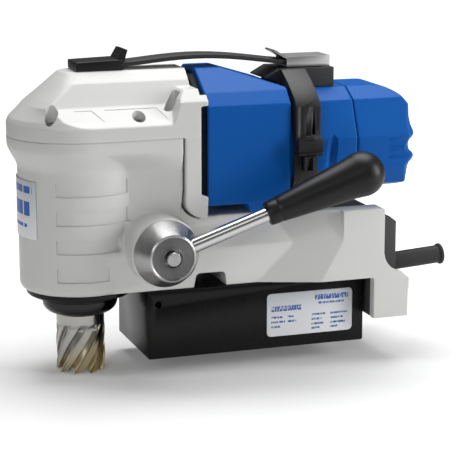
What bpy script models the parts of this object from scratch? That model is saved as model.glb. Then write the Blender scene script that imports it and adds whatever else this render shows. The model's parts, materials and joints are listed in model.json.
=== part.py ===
"""Compact magnetic drill press, in metres, +Z up.

The origin is the centre of the magnet's pole face. The spindle is at the -X end,
the motor's rear cap and the control box are at the +X end, and the feed lever
is on the -Y side.
"""
import math

import bmesh
import bpy
from mathutils import Matrix, Vector

# Magnet foot
MAGNET_LENGTH = 0.165
MAGNET_HALF_WIDTH = 0.040
MAGNET_HEIGHT = 0.0496
COIL_CENTRE_X = 0.043
COIL_SIZE = (0.062, 0.058)
CORE_SIZE = (0.030, 0.028)

# Spindle line
SPINDLE_X = -0.122
QUILL_RADIUS = 0.0272
QUILL_LOW, QUILL_HIGH = 0.0462, 0.118
NOSE_LOW, NOSE_HIGH = 0.0308, 0.0456
CUTTER_RADIUS = 0.0175
CUTTER_TIP = -0.0128
CUTTER_TEETH = 9
CUTTER_LEVELS = 6
CUTTER_TWIST = 1.35
SHANK_RADIUS = 0.0095

# Cast housing
COLUMN_RADIUS = 0.0425
WEB_HALF_WIDTH = 0.0375
HOUSING_LOW = 0.050
HEAD_RADIUS = 0.0495
PARTING_Z = 0.160
WEB_REAR = -0.0573
ARM_HALF_WIDTH = 0.042
ARM_TOP = 0.101
REAR_HALF_WIDTH = 0.054
LEG_INNER = 0.0465
GAP = 0.0003

# Feed: a pinion on the lever's shaft turns on a rack cut in the quill
FEED_X, FEED_Z = -0.0747, 0.0817
FEED_MODULE = 0.00125
FEED_TEETH = 34
FEED_RADIUS = FEED_MODULE * FEED_TEETH / 2
RACK_LINE = FEED_X - FEED_RADIUS
LEVER_ANGLE = math.radians(20.6)
LEVER_LEAN = math.radians(5.5)
LEVER_ROOT_Y = -0.0665

# Motor and drive train
MOTOR_Z = 0.1495
MOTOR_FRONT = -0.0395
MOTOR_WAIST = 0.022
CAP_FRONT = 0.0752
SPUR_MODULE = 0.001
PINION_TEETH, WHEEL_TEETH = 9, 36
COUNTER_Z = MOTOR_Z + SPUR_MODULE * (PINION_TEETH + WHEEL_TEETH) / 2
BEVEL_PINION_TEETH, BEVEL_WHEEL_TEETH = 10, 30
BEVEL_MODULE = 0.0015
BEVEL_REACH = BEVEL_MODULE * BEVEL_WHEEL_TEETH / 2
BEVEL_DROP = BEVEL_MODULE * BEVEL_PINION_TEETH / 2
SPLINE_TEETH = 6
SPLINE_PHASE = 0.03

# Carrying strap
STRAP_HALF_WIDTH = 0.010
STRAP_TUCK = 0.020
CLAMP_X = (-0.1246, -0.0905)
CLIP_X = (0.0316, 0.065)
BAND_X = (0.0246, 0.043)

# Control box
BOX_REAR = 0.1093
BOX_HALF_WIDTH = 0.036
BOX_TOP = 0.091
BUTTON_Z = 0.074
START_Y, STOP_Y, SWITCH_Y = -0.021, 0.0, 0.022

FINISHES = {
    "white_paint": ((0.78, 0.78, 0.76), 0.45, 0.0),
    "blue_plastic": ((0.010, 0.085, 0.34), 0.40, 0.0),
    "black_plastic": ((0.018, 0.018, 0.020), 0.50, 0.0),
    "dark_plastic": ((0.060, 0.060, 0.064), 0.55, 0.0),
    "black_paint": ((0.012, 0.012, 0.013), 0.38, 0.0),
    "rubber": ((0.020, 0.020, 0.022), 0.75, 0.0),
    "polished_steel": ((0.72, 0.72, 0.71), 0.22, 1.0),
    "machined_steel": ((0.42, 0.42, 0.42), 0.38, 1.0),
    "coated_steel": ((0.66, 0.60, 0.44), 0.28, 1.0),
    "label_foil": ((0.80, 0.81, 0.83), 0.35, 0.2),
    "copper": ((0.70, 0.28, 0.12), 0.35, 1.0),
    "resin": ((0.03, 0.03, 0.035), 0.45, 0.0),
    "bronze": ((0.55, 0.38, 0.16), 0.40, 1.0),
    "green_plastic": ((0.02, 0.36, 0.08), 0.40, 0.0),
    "red_plastic": ((0.55, 0.02, 0.02), 0.40, 0.0),
    "board": ((0.02, 0.18, 0.08), 0.50, 0.0),
}


# ---------------------------------------------------------------- helpers

def clear_scene():
    for item in list(bpy.data.objects):
        bpy.data.objects.remove(item, do_unlink=True)


def new_collection(name):
    collection = bpy.data.collections.new(name)
    bpy.context.scene.collection.children.link(collection)
    return collection


def add_finish(node, finish):
    colour, roughness, metallic = FINISHES[finish]
    material = bpy.data.materials.new(node.name + "_finish")
    material.use_nodes = True
    shader = material.node_tree.nodes["Principled BSDF"]
    shader.inputs["Base Color"].default_value = (*colour, 1.0)
    shader.inputs["Roughness"].default_value = roughness
    shader.inputs["Metallic"].default_value = metallic
    node.data.materials.append(material)


def as_object(name, shape, collection):
    bmesh.ops.recalc_face_normals(shape, faces=shape.faces)
    if shape.calc_volume(signed=True) < 0:
        bmesh.ops.reverse_faces(shape, faces=shape.faces)
    mesh = bpy.data.meshes.new(name)
    shape.to_mesh(mesh)
    shape.free()
    node = bpy.data.objects.new(name, mesh)
    collection.objects.link(node)
    return node


def solid(name, shape, finish):
    node = as_object(name, shape, parts)
    node.data.shade_smooth()
    node.data.set_sharp_from_angle(angle=math.radians(35))
    add_finish(node, finish)
    return node


def combine(node, shape, operation):
    tool = as_object(node.name + "_tool", shape, cutters)
    tool.hide_render = True
    tool.display_type = "WIRE"
    modifier = node.modifiers.new(operation.lower(), "BOOLEAN")
    modifier.operation = operation
    modifier.solver = "EXACT"
    modifier.object = tool


def cut(node, *shapes):
    for shape in shapes:
        combine(node, shape, "DIFFERENCE")


def join(node, *shapes):
    for shape in shapes:
        combine(node, shape, "UNION")


def evaluated_shape(guide, merge_flat=False):
    """Mesh of a guide object with its modifiers, welded, as a bmesh. The guide is removed."""
    parts.objects.link(guide)
    depsgraph = bpy.context.evaluated_depsgraph_get()
    mesh = bpy.data.meshes.new_from_object(guide.evaluated_get(depsgraph))
    bpy.data.objects.remove(guide, do_unlink=True)
    shape = bmesh.new()
    shape.from_mesh(mesh)
    bpy.data.meshes.remove(mesh)
    bmesh.ops.remove_doubles(shape, verts=shape.verts, dist=1e-6)
    if merge_flat:
        bmesh.ops.dissolve_limit(shape, angle_limit=0.0005, verts=shape.verts, edges=shape.edges)
    return shape


def slice_off(shape, point, normal, convex=True):
    """Cut away what lies beyond a plane and close the shape again."""
    everything = shape.verts[:] + shape.edges[:] + shape.faces[:]
    result = bmesh.ops.bisect_plane(
        shape, geom=everything, dist=1e-7, plane_co=point, plane_no=normal, clear_outer=True)
    rim = [item for item in result["geom_cut"] if isinstance(item, bmesh.types.BMEdge)]
    if rim and convex:
        bmesh.ops.contextual_create(shape, geom=rim)
    elif rim:
        bmesh.ops.edgenet_fill(shape, edges=rim)


def slab(low, high, slices=()):
    """Box between two corners, with planes (point, normal) that slice its corners off."""
    shape = bmesh.new()
    bmesh.ops.create_cube(shape, size=1.0)
    low, high = Vector(low), Vector(high)
    for vert in shape.verts:
        vert.co = (low + high) / 2 + vert.co * (high - low)
    for point, normal in slices:
        slice_off(shape, point, normal)
    return shape


def both_sides(point, normal):
    """A slicing plane and its mirror image across Y = 0."""
    mirrored_point = (point[0], -point[1], point[2])
    mirrored_normal = (normal[0], -normal[1], normal[2])
    return [(point, normal), (mirrored_point, mirrored_normal)]


def rise(first, second):
    """Slices through two (y, z) points, outward on the -Y side, with their mirror images."""
    step_y, step_z = second[0] - first[0], second[1] - first[1]
    return both_sides((0.0, first[0], first[1]), (0.0, -step_z, step_y))


def prism(outlines, axis, low, high):
    """Outline in the plane across an axis, filled and extruded between two planes.

    The outline's coordinates are (y, z) across X, (x, z) across Y and (x, y) across Z.
    A second outline inside the first is a hole.
    """
    curve = bpy.data.curves.new("outline", "CURVE")
    curve.dimensions = "2D"
    curve.fill_mode = "BOTH"
    curve.extrude = (high - low) / 2
    for outline in outlines:
        spline = curve.splines.new("POLY")
        spline.points.add(len(outline) - 1)
        for point, (u, v) in zip(spline.points, outline):
            point.co = (u, v, 0.0, 1.0)
        spline.use_cyclic_u = True
    shape = evaluated_shape(bpy.data.objects.new("outline", curve), merge_flat=len(outlines) == 1)
    middle = (low + high) / 2
    for vert in shape.verts:
        u, v, w = vert.co
        w += middle
        vert.co = {"X": (w, u, v), "Y": (u, w, v), "Z": (u, v, w)}[axis]
    return shape


def axis_frame(origin, direction):
    """Matrix that puts local +Z along a direction at an origin."""
    return Matrix.Translation(origin) @ Vector(direction).to_track_quat("Z", "Y").to_matrix().to_4x4()


def turned(profile, origin=(0.0, 0.0, 0.0), direction=(0.0, 0.0, 1.0), steps=24, hollow=False):
    """Solid of revolution. The profile lists (radius, height) down the outside, top first.

    A hollow profile goes on up the inside, and is closed.
    """
    mesh = bpy.data.meshes.new("profile")
    edges = [(i, i + 1) for i in range(len(profile) - 1)]
    if hollow:
        edges.append((len(profile) - 1, 0))
    mesh.from_pydata([(radius, 0.0, height) for radius, height in profile], edges, [])
    guide = bpy.data.objects.new("profile", mesh)
    screw = guide.modifiers.new("turn", "SCREW")
    screw.steps = steps
    screw.render_steps = steps
    screw.use_merge_vertices = True
    screw.merge_threshold = 1e-6
    shape = evaluated_shape(guide, merge_flat=not hollow)
    bmesh.ops.transform(shape, matrix=axis_frame(origin, direction), verts=shape.verts)
    return shape


def rod(radius, low, high, origin=(0.0, 0.0, 0.0), direction=(0.0, 0.0, 1.0), steps=20):
    profile = [(0.0, high), (radius, high), (radius, low), (0.0, low)]
    return turned(profile, origin, direction, steps)


def tube(outer, inner, low, high, origin=(0.0, 0.0, 0.0), direction=(0.0, 0.0, 1.0), steps=24):
    profile = [(outer, high), (outer, low), (inner, low), (inner, high)]
    return turned(profile, origin, direction, steps, hollow=True)


def loft(rings):
    """Skin over rings of points that have the same count, with flat ends."""
    shape = bmesh.new()
    loops = [[shape.verts.new(point) for point in ring] for ring in rings]
    for lower, upper in zip(loops, loops[1:]):
        for i, vert in enumerate(lower):
            j = (i + 1) % len(lower)
            shape.faces.new((vert, lower[j], upper[j], upper[i]))
    shape.faces.new(loops[0])
    shape.faces.new(loops[-1])
    return shape


def arc(centre, radius, start, stop, count=6):
    """Points on an arc between two angles in degrees, both ends included."""
    angles = [math.radians(start + (stop - start) * i / count) for i in range(count + 1)]
    return [(centre[0] + radius * math.cos(a), centre[1] + radius * math.sin(a)) for a in angles]


def rounded_box(u_low, v_low, u_high, v_high, radius, count=3):
    """Rectangle with round corners, as an outline."""
    return (arc((u_high - radius, v_high - radius), radius, 0, 90, count)
            + arc((u_low + radius, v_high - radius), radius, 90, 180, count)
            + arc((u_low + radius, v_low + radius), radius, 180, 270, count)
            + arc((u_high - radius, v_low + radius), radius, 270, 360, count))


def head_plan(radius, half_width, rear=WEB_REAR, count=32):
    """Plan of the head: an arc about the spindle and straight flanks back to the rear face."""
    start = math.degrees(math.asin(min(1.0, half_width / radius)))
    front = arc((SPINDLE_X, 0.0), radius, start, 360 - start, count)
    return [(rear, half_width)] + front + [(rear, -half_width)]


def gear_outline(teeth, root, tip, root_share=0.56, tip_share=0.24, phase=0.0):
    """Outline of a gear with straight-sided teeth, the first one centred at the phase angle."""
    pitch = 2 * math.pi / teeth
    corners = ((root, -root_share / 2), (tip, -tip_share / 2), (tip, tip_share / 2), (root, root_share / 2))
    points = []
    for tooth in range(teeth):
        for radius, share in corners:
            angle = phase + pitch * (tooth + share)
            points.append((radius * math.cos(angle), radius * math.sin(angle)))
    return points


def spin_group(name, pivot, nodes):
    """Parent moving nodes to an empty on their joint's axis, without moving them."""
    empty = bpy.data.objects.new(name, None)
    empty.location = pivot
    parts.objects.link(empty)
    for node in nodes:
        node.parent = empty
        node.matrix_parent_inverse = Matrix.Translation(-Vector(pivot))


# ---------------------------------------------------------------- magnet foot

def make_magnet():
    half = MAGNET_LENGTH / 2
    body = solid("magnet_body", slab((-half, -MAGNET_HALF_WIDTH, 0.0),
                                     (half, MAGNET_HALF_WIDTH, MAGNET_HEIGHT)),
                 "black_paint")
    bevel = body.modifiers.new("edges", "BEVEL")
    bevel.width = 0.0012
    bevel.segments = 2
    cut(body, rod(0.0025, -0.002, 0.010, (-0.075, -MAGNET_HALF_WIDTH, 0.040), (0.0, 1.0, 0.0), 16))
    for name, side in (("front", -1), ("rear", 1)):
        middle = side * COIL_CENTRE_X
        rings = []
        for inset in (0.0, 0.0004):
            outer = rounded_box(middle - COIL_SIZE[0] / 2 + inset, -COIL_SIZE[1] / 2 + inset,
                                middle + COIL_SIZE[0] / 2 - inset, COIL_SIZE[1] / 2 - inset, 0.008)
            inner = rounded_box(middle - CORE_SIZE[0] / 2 - inset, -CORE_SIZE[1] / 2 - inset,
                                middle + CORE_SIZE[0] / 2 + inset, CORE_SIZE[1] / 2 + inset, 0.004)
            rings.append([outer, inner])
        cut(body, prism(rings[0], "Z", -0.001, 0.036))
        solid("magnet_coil_" + name, prism(rings[1], "Z", 0.0055, 0.035), "copper")
        solid("magnet_resin_" + name, prism(rings[1], "Z", 0.0004, 0.0051), "resin")
    solid("nameplate", prism([rounded_box(0.0065, 0.009, 0.073, 0.041, 0.003)], "Y",
                             -MAGNET_HALF_WIDTH - 0.0010, -MAGNET_HALF_WIDTH - GAP), "label_foil")


# ---------------------------------------------------------------- cast housing

def make_main_housing():
    levels = ((HOUSING_LOW, 0.0405, 0.0360), (0.0525, COLUMN_RADIUS, WEB_HALF_WIDTH),
              (0.126, COLUMN_RADIUS, WEB_HALF_WIDTH), (0.142, COLUMN_RADIUS, 0.0425),
              (0.152, 0.048, 0.048), (PARTING_Z, HEAD_RADIUS, HEAD_RADIUS))
    rings = [[(x, y, z) for x, y in head_plan(radius, half)] for z, radius, half in levels]
    housing = solid("main_housing", loft(rings), "white_paint")

    arm_shoulder = (0.035, 0.094)
    arm = slab((-0.118, -ARM_HALF_WIDTH, HOUSING_LOW), (0.040, ARM_HALF_WIDTH, ARM_TOP),
               rise((-ARM_HALF_WIDTH, 0.079), (-arm_shoulder[0], arm_shoulder[1])))
    crown = slab((-0.110, -arm_shoulder[0], 0.080), (0.040, arm_shoulder[0], ARM_TOP))
    flare = Vector((1.0, 2.833, -0.586)).normalized()
    rear = slab((-0.005, -REAR_HALF_WIDTH, HOUSING_LOW), (0.0927, REAR_HALF_WIDTH, ARM_TOP + GAP),
                both_sides((0.009, -ARM_HALF_WIDTH, HOUSING_LOW), (-flare.x, -flare.y, -flare.z)))
    fillet = prism([[(-0.0600, 0.0990), (-0.0430, 0.0990)] + arc((-0.0430, 0.1160), 0.0143, -90, -180)
                    + [(-0.0600, 0.1160)]], "Y", -WEB_HALF_WIDTH, WEB_HALF_WIDTH)
    side_outline = ([(0.060, HOUSING_LOW), (0.0845, HOUSING_LOW), (0.0845, 0.0193), (0.112, 0.0193),
                     (0.1127, 0.048), (0.107, 0.053)] + arc((0.1085, 0.0690), 0.0158, -95, -176, 4)
                    + arc((0.0867, 0.0953), 0.006, 0, 90, 4) + [(0.060, 0.1013)])
    legs = [prism([side_outline], "Y", low, low + REAR_HALF_WIDTH - LEG_INNER)
            for low in (-REAR_HALF_WIDTH, LEG_INNER)]
    boss = rod(0.0245, 0.030, 0.059, (FEED_X, 0.0, FEED_Z), (0.0, -1.0, 0.0), 28)
    join(housing, arm, crown, rear, fillet, *legs, boss)

    spindle = (SPINDLE_X, 0.0, 0.0)
    feed_axis = ((FEED_X, 0.0, FEED_Z), (0.0, -1.0, 0.0))
    bore = turned([(0.0, 0.170), (0.040, 0.170), (0.040, 0.152), (0.0194, 0.152), (0.0194, 0.1390),
                   (0.0135, 0.1390), (0.0135, 0.1350), (0.0277, 0.1350), (0.0277, 0.040), (0.0, 0.040)],
                  spindle, steps=32)
    gear_room = slab((SPINDLE_X, -0.030, 0.152), (-0.050, 0.030, 0.170))
    feed_room = rod(0.0230, -0.0076, 0.0076, *feed_axis, steps=24)
    shaft_hole = rod(0.0086, -0.031, 0.040, *feed_axis)
    bush_hole = rod(0.0111, 0.0300, 0.070, *feed_axis, steps=24)
    box_room = slab((0.024, -BOX_HALF_WIDTH - 0.0005, 0.040), (0.100, BOX_HALF_WIDTH + 0.0005, 0.110))
    strap_slot = prism([[(-0.0490, 0.045), (-0.0226, 0.045)]
                        + arc((-0.0278, 0.0575), 0.0032, 0, 90, 3)
                         + arc((-0.0438, 0.0575), 0.0032, 90, 180, 3)],
                       "Y", -0.070, 0.070)
    cut(housing, bore, gear_room, feed_room, shaft_hole, bush_hole, box_room, strap_slot)
    for x, y in screw_places():
        cut(housing, rod(0.0024, 0.150, 0.165, (x, y, 0.0), steps=12))


def screw_places():
    return [(x, side * y) for x, y in ((-0.1480, 0.0350), (-0.088, 0.0410)) for side in (-1, 1)]


def make_gear_head():
    """Upper casting: the cover over the gears and the flange that holds the motor."""
    ledge = rise((-HEAD_RADIUS, 0.169), (-0.033, 0.182))
    wall = rise((-0.033, 0.182), (-0.022, 0.197))
    top = rise((-0.022, 0.197), (-0.013, 0.204))
    nose = [((-0.170, 0.0, 0.173), (-0.032, 0.0, 0.036))]
    low = PARTING_Z + GAP

    def head_block(height, rear, slices):
        shape = prism([head_plan(HEAD_RADIUS, HEAD_RADIUS, rear)], "Z", low, height)
        for point, normal in slices:
            slice_off(shape, point, normal)
        return shape

    head = solid("gear_head", head_block(0.184, -0.050, ledge + nose), "white_paint")
    upper = head_block(0.204, -0.0462, wall + top + nose)
    outline = ([(-0.0569, 0.165), (-0.0569, 0.1162)] + arc((-0.0429, 0.1160), 0.0140, 180, 270)
               + [(-0.0400, 0.1020), (-0.0400, 0.117), (-0.0453, 0.119), (-0.0453, 0.183), (-0.0400, 0.185),
                  (-0.0400, 0.190), (-0.0480, 0.190), (-0.0560, 0.180)])
    flange = prism([outline], "Y", -0.0490, 0.0490)
    join(head, upper, flange)

    gears = prism([head_plan(0.040, 0.040, -0.060)], "Z", 0.150, 0.172)
    ridge = slab((-0.146, -0.021, 0.165), (-0.030, 0.021, 0.1915))
    window = slab((-0.0600, -0.021, 0.1400), (-0.030, 0.021, 0.1800))
    plate_room = slab((-0.0452, -0.0444, 0.1175), (-0.030, 0.0444, 0.2050))
    cut(head, gears, ridge, window, plate_room)
    for x, y in screw_places():
        cut(head, turned([(0.0, 0.200), (0.0046, 0.200), (0.0046, 0.1695), (0.0026, 0.1695), (0.0026, 0.150),
                          (0.0, 0.150)], (x, y, 0.0), steps=16))
    names = ("front_near", "front_far", "rear_near", "rear_far")
    for name, (x, y) in zip(names, screw_places()):
        screw = solid("cover_screw_" + name,
                      turned([(0.0, 0.1728), (0.0040, 0.1728), (0.0043, 0.1722), (0.0043, 0.1698),
                              (0.0021, 0.1698), (0.0021, 0.1525), (0.0, 0.1525)], (x, y, 0.0), steps=12),
                      "machined_steel")
        cut(screw, prism([[(x + 0.0022 * math.cos(a), y + 0.0022 * math.sin(a))
                           for a in [math.radians(60 * i) for i in range(6)]]], "Z", 0.1708, 0.175))


def make_base_ring():
    solid("base_ring", turned([(0.0372, 0.0497), (0.0380, 0.0490), (0.0380, 0.0462), (0.0370, 0.0452),
                               (0.0282, 0.0452), (0.0282, 0.0497)], (SPINDLE_X, 0.0, 0.0), steps=36,
                              hollow=True), "black_paint")


def make_front_label():
    shape = tube(COLUMN_RADIUS + 0.0008, COLUMN_RADIUS + GAP, 0.089, 0.131, (SPINDLE_X, 0.0, 0.0), steps=48)
    angle = math.radians(34)
    for side in (-1, 1):
        slice_off(shape, (SPINDLE_X, 0.0, 0.0), (math.sin(angle), side * math.cos(angle), 0.0), convex=False)
    solid("front_label", shape, "label_foil")


# ---------------------------------------------------------------- spindle line

def make_spindle():
    centre = (SPINDLE_X, 0.0, 0.0)
    quill = solid("quill", tube(QUILL_RADIUS, 0.0202, QUILL_LOW, QUILL_HIGH, centre, steps=32),
                  "polished_steel")
    pitch = math.pi * FEED_MODULE
    reach = RACK_LINE + 0.0012
    root = RACK_LINE - 0.0016
    comb = [(reach + 0.004, FEED_Z - 7.4 * pitch)]
    for tooth in range(-6, 10):
        middle = FEED_Z + tooth * pitch
        comb += [(reach, middle - 0.37 * pitch), (root, middle - 0.22 * pitch),
                 (root, middle + 0.22 * pitch), (reach, middle + 0.37 * pitch)]
    comb.append((reach + 0.004, FEED_Z + 9.4 * pitch))
    cut(quill, prism([comb], "Y", -0.0078, 0.0078))

    low_bearing = solid("quill_bearing_lower", tube(0.0199, 0.0123, 0.0490, 0.0600, centre), "machined_steel")
    high_bearing = solid("quill_bearing_upper", tube(0.0199, 0.0123, 0.0860, 0.0960, centre),
                         "machined_steel")

    nose = arc((0.0185, NOSE_LOW + 0.0085), 0.0085, 0, -80, 4)
    profile = ([(0.0, 0.0965), (0.0120, 0.0965), (0.0120, 0.0470), (0.0262, 0.0456), (0.0270, 0.0448)]
               + nose + [(0.0190, NOSE_LOW), (0.0, NOSE_LOW)])
    arbor = solid("arbor", turned(profile, centre, steps=32), "polished_steel")
    spline = gear_outline(SPLINE_TEETH, 0.0052, 0.0068, 0.62, 0.5, SPLINE_PHASE)
    join(arbor, prism([[(SPINDLE_X + u, v) for u, v in spline]], "Z", 0.0950, 0.1520))
    cut(arbor, rod(0.0098, 0.020, 0.0620, centre, steps=24), rod(0.0053, 0.060, 0.0925, centre))

    screws = []
    for name, direction in (("rear", (1.0, 0.0, 0.0)), ("far", (0.0, 1.0, 0.0))):
        at = (SPINDLE_X, 0.0, 0.0378)
        cut(arbor, rod(0.0040, 0.0085, 0.040, at, direction, 20))
        screw = solid("cutter_screw_" + name, rod(0.0037, 0.0101, 0.0215, at, direction, 20),
                      "machined_steel")
        cut(screw, rod(0.0019, 0.0175, 0.030, at, direction, 6))
        screws.append(screw)

    rings = []
    for step in range(CUTTER_LEVELS + 1):
        share = step / CUTTER_LEVELS
        z = CUTTER_TIP + share * (0.0240 - CUTTER_TIP)
        flutes = gear_outline(CUTTER_TEETH, 0.0158, CUTTER_RADIUS, 0.66, 0.56,
                              share * CUTTER_TWIST)
        rings.append([(SPINDLE_X + u, v, z) for u, v in flutes])
    cutter = solid("annular_cutter", loft(rings), "coated_steel")
    join(cutter, turned([(0.0, 0.0580), (SHANK_RADIUS, 0.0580), (SHANK_RADIUS, 0.0304), (0.0172, 0.0304),
                         (0.0172, 0.0238), (0.0, 0.0238)], centre))
    cut(cutter, rod(0.0132, -0.020, 0.0180, centre), rod(0.0034, 0.010, 0.070, centre, steps=20))

    pin = solid("pilot_pin", turned([(0.0, 0.0680), (0.0048, 0.0680), (0.0048, 0.0640), (0.0031, 0.0640),
                                     (0.0031, CUTTER_TIP + 0.0035), (0.0008, CUTTER_TIP + 0.0010),
                                     (0.0, CUTTER_TIP + 0.0010)], centre, steps=20), "polished_steel")
    spring = make_pilot_spring()
    spin_group("quill_slide", (SPINDLE_X, 0.0, QUILL_LOW),
               [quill, low_bearing, high_bearing, arbor, *screws, cutter, pin, spring])


def make_pilot_spring():
    """Compression spring above the pilot pin, as a coiled wire."""
    low, high, turns, per_turn = 0.0688, 0.0918, 6, 9
    curve = bpy.data.curves.new("pilot_spring", "CURVE")
    curve.dimensions = "3D"
    curve.bevel_depth = 0.0005
    curve.bevel_resolution = 0
    curve.use_fill_caps = True
    spline = curve.splines.new("POLY")
    spline.points.add(turns * per_turn)
    for i, point in enumerate(spline.points):
        angle = 2 * math.pi * i / per_turn
        height = low + (high - low) * i / (turns * per_turn)
        point.co = (SPINDLE_X + 0.0043 * math.cos(angle), 0.0043 * math.sin(angle), height, 1.0)
    return solid("pilot_spring", evaluated_shape(bpy.data.objects.new("coil", curve)), "machined_steel")


# ---------------------------------------------------------------- feed

def lever_frame():
    """Place of the lever: along its rod, from the point on the hub's axis."""
    across = math.cos(LEVER_LEAN)
    direction = (math.cos(LEVER_ANGLE) * across, -math.sin(LEVER_LEAN), math.sin(LEVER_ANGLE) * across)
    return (FEED_X, LEVER_ROOT_Y, FEED_Z), direction


def make_feed():
    axis = ((FEED_X, 0.0, FEED_Z), (0.0, -1.0, 0.0))
    shaft = solid("feed_shaft", turned([(0.0, 0.0790), (0.0046, 0.0790), (0.0050, 0.0786), (0.0050, 0.0700),
                                        (0.0080, 0.0700), (0.0080, 0.0074), (0.0080, -0.0300),
                                        (0.0, -0.0300)],
                                       *axis), "machined_steel")
    pinion_outline = gear_outline(FEED_TEETH, FEED_RADIUS - 0.0014, FEED_RADIUS + 0.0010, phase=math.pi)
    pinion = solid("feed_pinion", prism([[(FEED_X + u, FEED_Z + v) for u, v in pinion_outline],
                                         arc((FEED_X, FEED_Z), 0.0083, 0, 345, 23)], "Y", -0.0070, 0.0070),
                   "machined_steel")
    solid("feed_bush", tube(0.0108, 0.0083, 0.0303, 0.0586, *axis), "bronze")
    hub = solid("feed_hub", turned([(0.0158, 0.0760), (0.0166, 0.0755), (0.0235, 0.0606), (0.0235, 0.0593),
                                    (0.0083, 0.0593), (0.0083, 0.0703), (0.0060, 0.0703), (0.0060, 0.0742),
                                    (0.0158, 0.0742)],
                                   *axis, steps=32, hollow=True), "polished_steel")
    place, along = lever_frame()
    cut(hub, rod(0.0056, 0.0125, 0.040, place, along))
    disc = solid("hub_disc", tube(0.0155, 0.0062, 0.0745, 0.0763, *axis), "machined_steel")
    lever = solid("lever_rod", rod(0.0053, 0.0128, 0.0880, place, along), "polished_steel")
    ball = arc((0.0, 0.1470), 0.0160, 90, -20, 7)
    grip = solid("lever_grip", turned(ball + [(0.0118, 0.1100), (0.0092, 0.0850), (0.0083, 0.0748),
                                              (0.0075, 0.0740), (0.0056, 0.0740), (0.0056, 0.0890),
                                              (0.0, 0.0890)], place, along), "black_plastic")
    spin_group("lever_feed", (FEED_X, 0.0, FEED_Z), [shaft, pinion, hub, disc, lever, grip])


# ---------------------------------------------------------------- motor and drive train

def motor_section(margin=0.0):
    """Cross-section of the motor's rear half, as a (y, z) outline."""
    side = [(0.018, 0.1865), (0.032, 0.1785), (0.042, 0.1600), (0.0430, 0.1290), (0.036, 0.1165),
            (0.020, 0.1120)]
    near = [(-y - margin, z) for y, z in reversed(side)]
    return [(y + margin, z) for y, z in side] + near


def make_motor_shell():
    axis = ((0.0, 0.0, MOTOR_Z), (1.0, 0.0, 0.0))
    slope = ((-0.0203, 0.0, 0.2036), (0.0176, 0.0, 0.0553))
    front = slab((MOTOR_FRONT, -0.0465, 0.1100), (MOTOR_WAIST, 0.0465, 0.2036),
                 [slope] + rise((-0.038, 0.189), (-0.014, 0.204)) + rise((-0.0465, 0.180), (-0.038, 0.189)))
    housing = solid("motor_housing", front, "blue_plastic")
    block = slab((-0.0150, -0.0440, 0.1030), (0.0200, 0.0440, 0.1170),
                 [((-0.0110, 0.0, 0.1167), (-0.9, 0.0, -0.3))])
    join(housing, prism([motor_section()], "X", 0.010, CAP_FRONT - GAP), block)
    cut(housing, rod(0.0335, -0.060, 0.100, *axis, steps=32))
    for side in (-1, 1):
        cut(housing, slab((0.0475, side * 0.0435 - 0.0035, 0.127), (0.0560, side * 0.0435 + 0.0035, 0.163)))

    cap = solid("rear_cap", slab((0.118, -0.001, 0.148), (0.119, 0.001, 0.150)), "blue_plastic")
    shell = prism([motor_section()], "X", CAP_FRONT, 0.120)
    for point, normal in ([((0.104, 0.0, 0.1865), (0.45, 0.0, 1.0)), ((0.1135, 0.0, 0.1815), (1.0, 0.0, 0.9))]
                          + both_sides((0.1200, -0.0240, 0.0), (1.0, -0.45, 0.0))
                          + [((0.1175, 0.0, 0.1120), (1.0, 0.0, -1.0))]):
        slice_off(shell, point, normal)
    ridges = prism([[(0.100, 0.1760), (0.1160, 0.1720), (0.1204, 0.1615), (0.1248, 0.1530), (0.1246, 0.1500),
                     (0.1208, 0.1480), (0.1206, 0.1425), (0.1240, 0.1385), (0.1250, 0.1350), (0.1203, 0.1280),
                     (0.1190, 0.1160), (0.1000, 0.1140)]], "Y", -0.0225, 0.0225)
    join(cap, shell, ridges)
    cut(cap, turned([(0.0, 0.1000), (0.0099, 0.1000), (0.0099, 0.0920), (0.0300, 0.0920), (0.0300, 0.060),
                     (0.0, 0.060)], *axis))

    plate = solid("motor_plate", slab((-0.0447, -0.0440, 0.1180), (-0.0398, 0.0440, 0.2000),
                                      rise((-0.0440, 0.180), (-0.0120, 0.202))), "black_plastic")
    cut(plate, rod(0.0113, -0.060, -0.030, *axis, steps=24),
        rod(0.0052, -0.060, -0.030, (0.0, 0.0, COUNTER_Z), (1.0, 0.0, 0.0)))
    solid("motor_bearing_front", tube(0.0110, 0.0043, -0.0444, -0.0400, *axis), "machined_steel")
    solid("motor_bearing_rear", tube(0.0096, 0.0043, 0.0925, 0.0995, *axis), "machined_steel")

    solid("stator", turned([(0.0300, 0.0345), (0.0300, 0.028), (0.0332, 0.028), (0.0332, -0.018),
                            (0.0300, -0.018), (0.0300, -0.0245), (0.0222, -0.0245), (0.0222, -0.018),
                            (0.0208, -0.018), (0.0208, 0.028), (0.0222, 0.028), (0.0222, 0.0345)],
                           *axis, hollow=True), "machined_steel")
    for name, side in (("near", -1), ("far", 1)):
        low, high = sorted((side * 0.0122, side * 0.0300))
        solid("brush_" + name, slab((0.0420, low, MOTOR_Z - 0.0050), (0.0540, high, MOTOR_Z + 0.0050)),
              "bronze")


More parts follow.
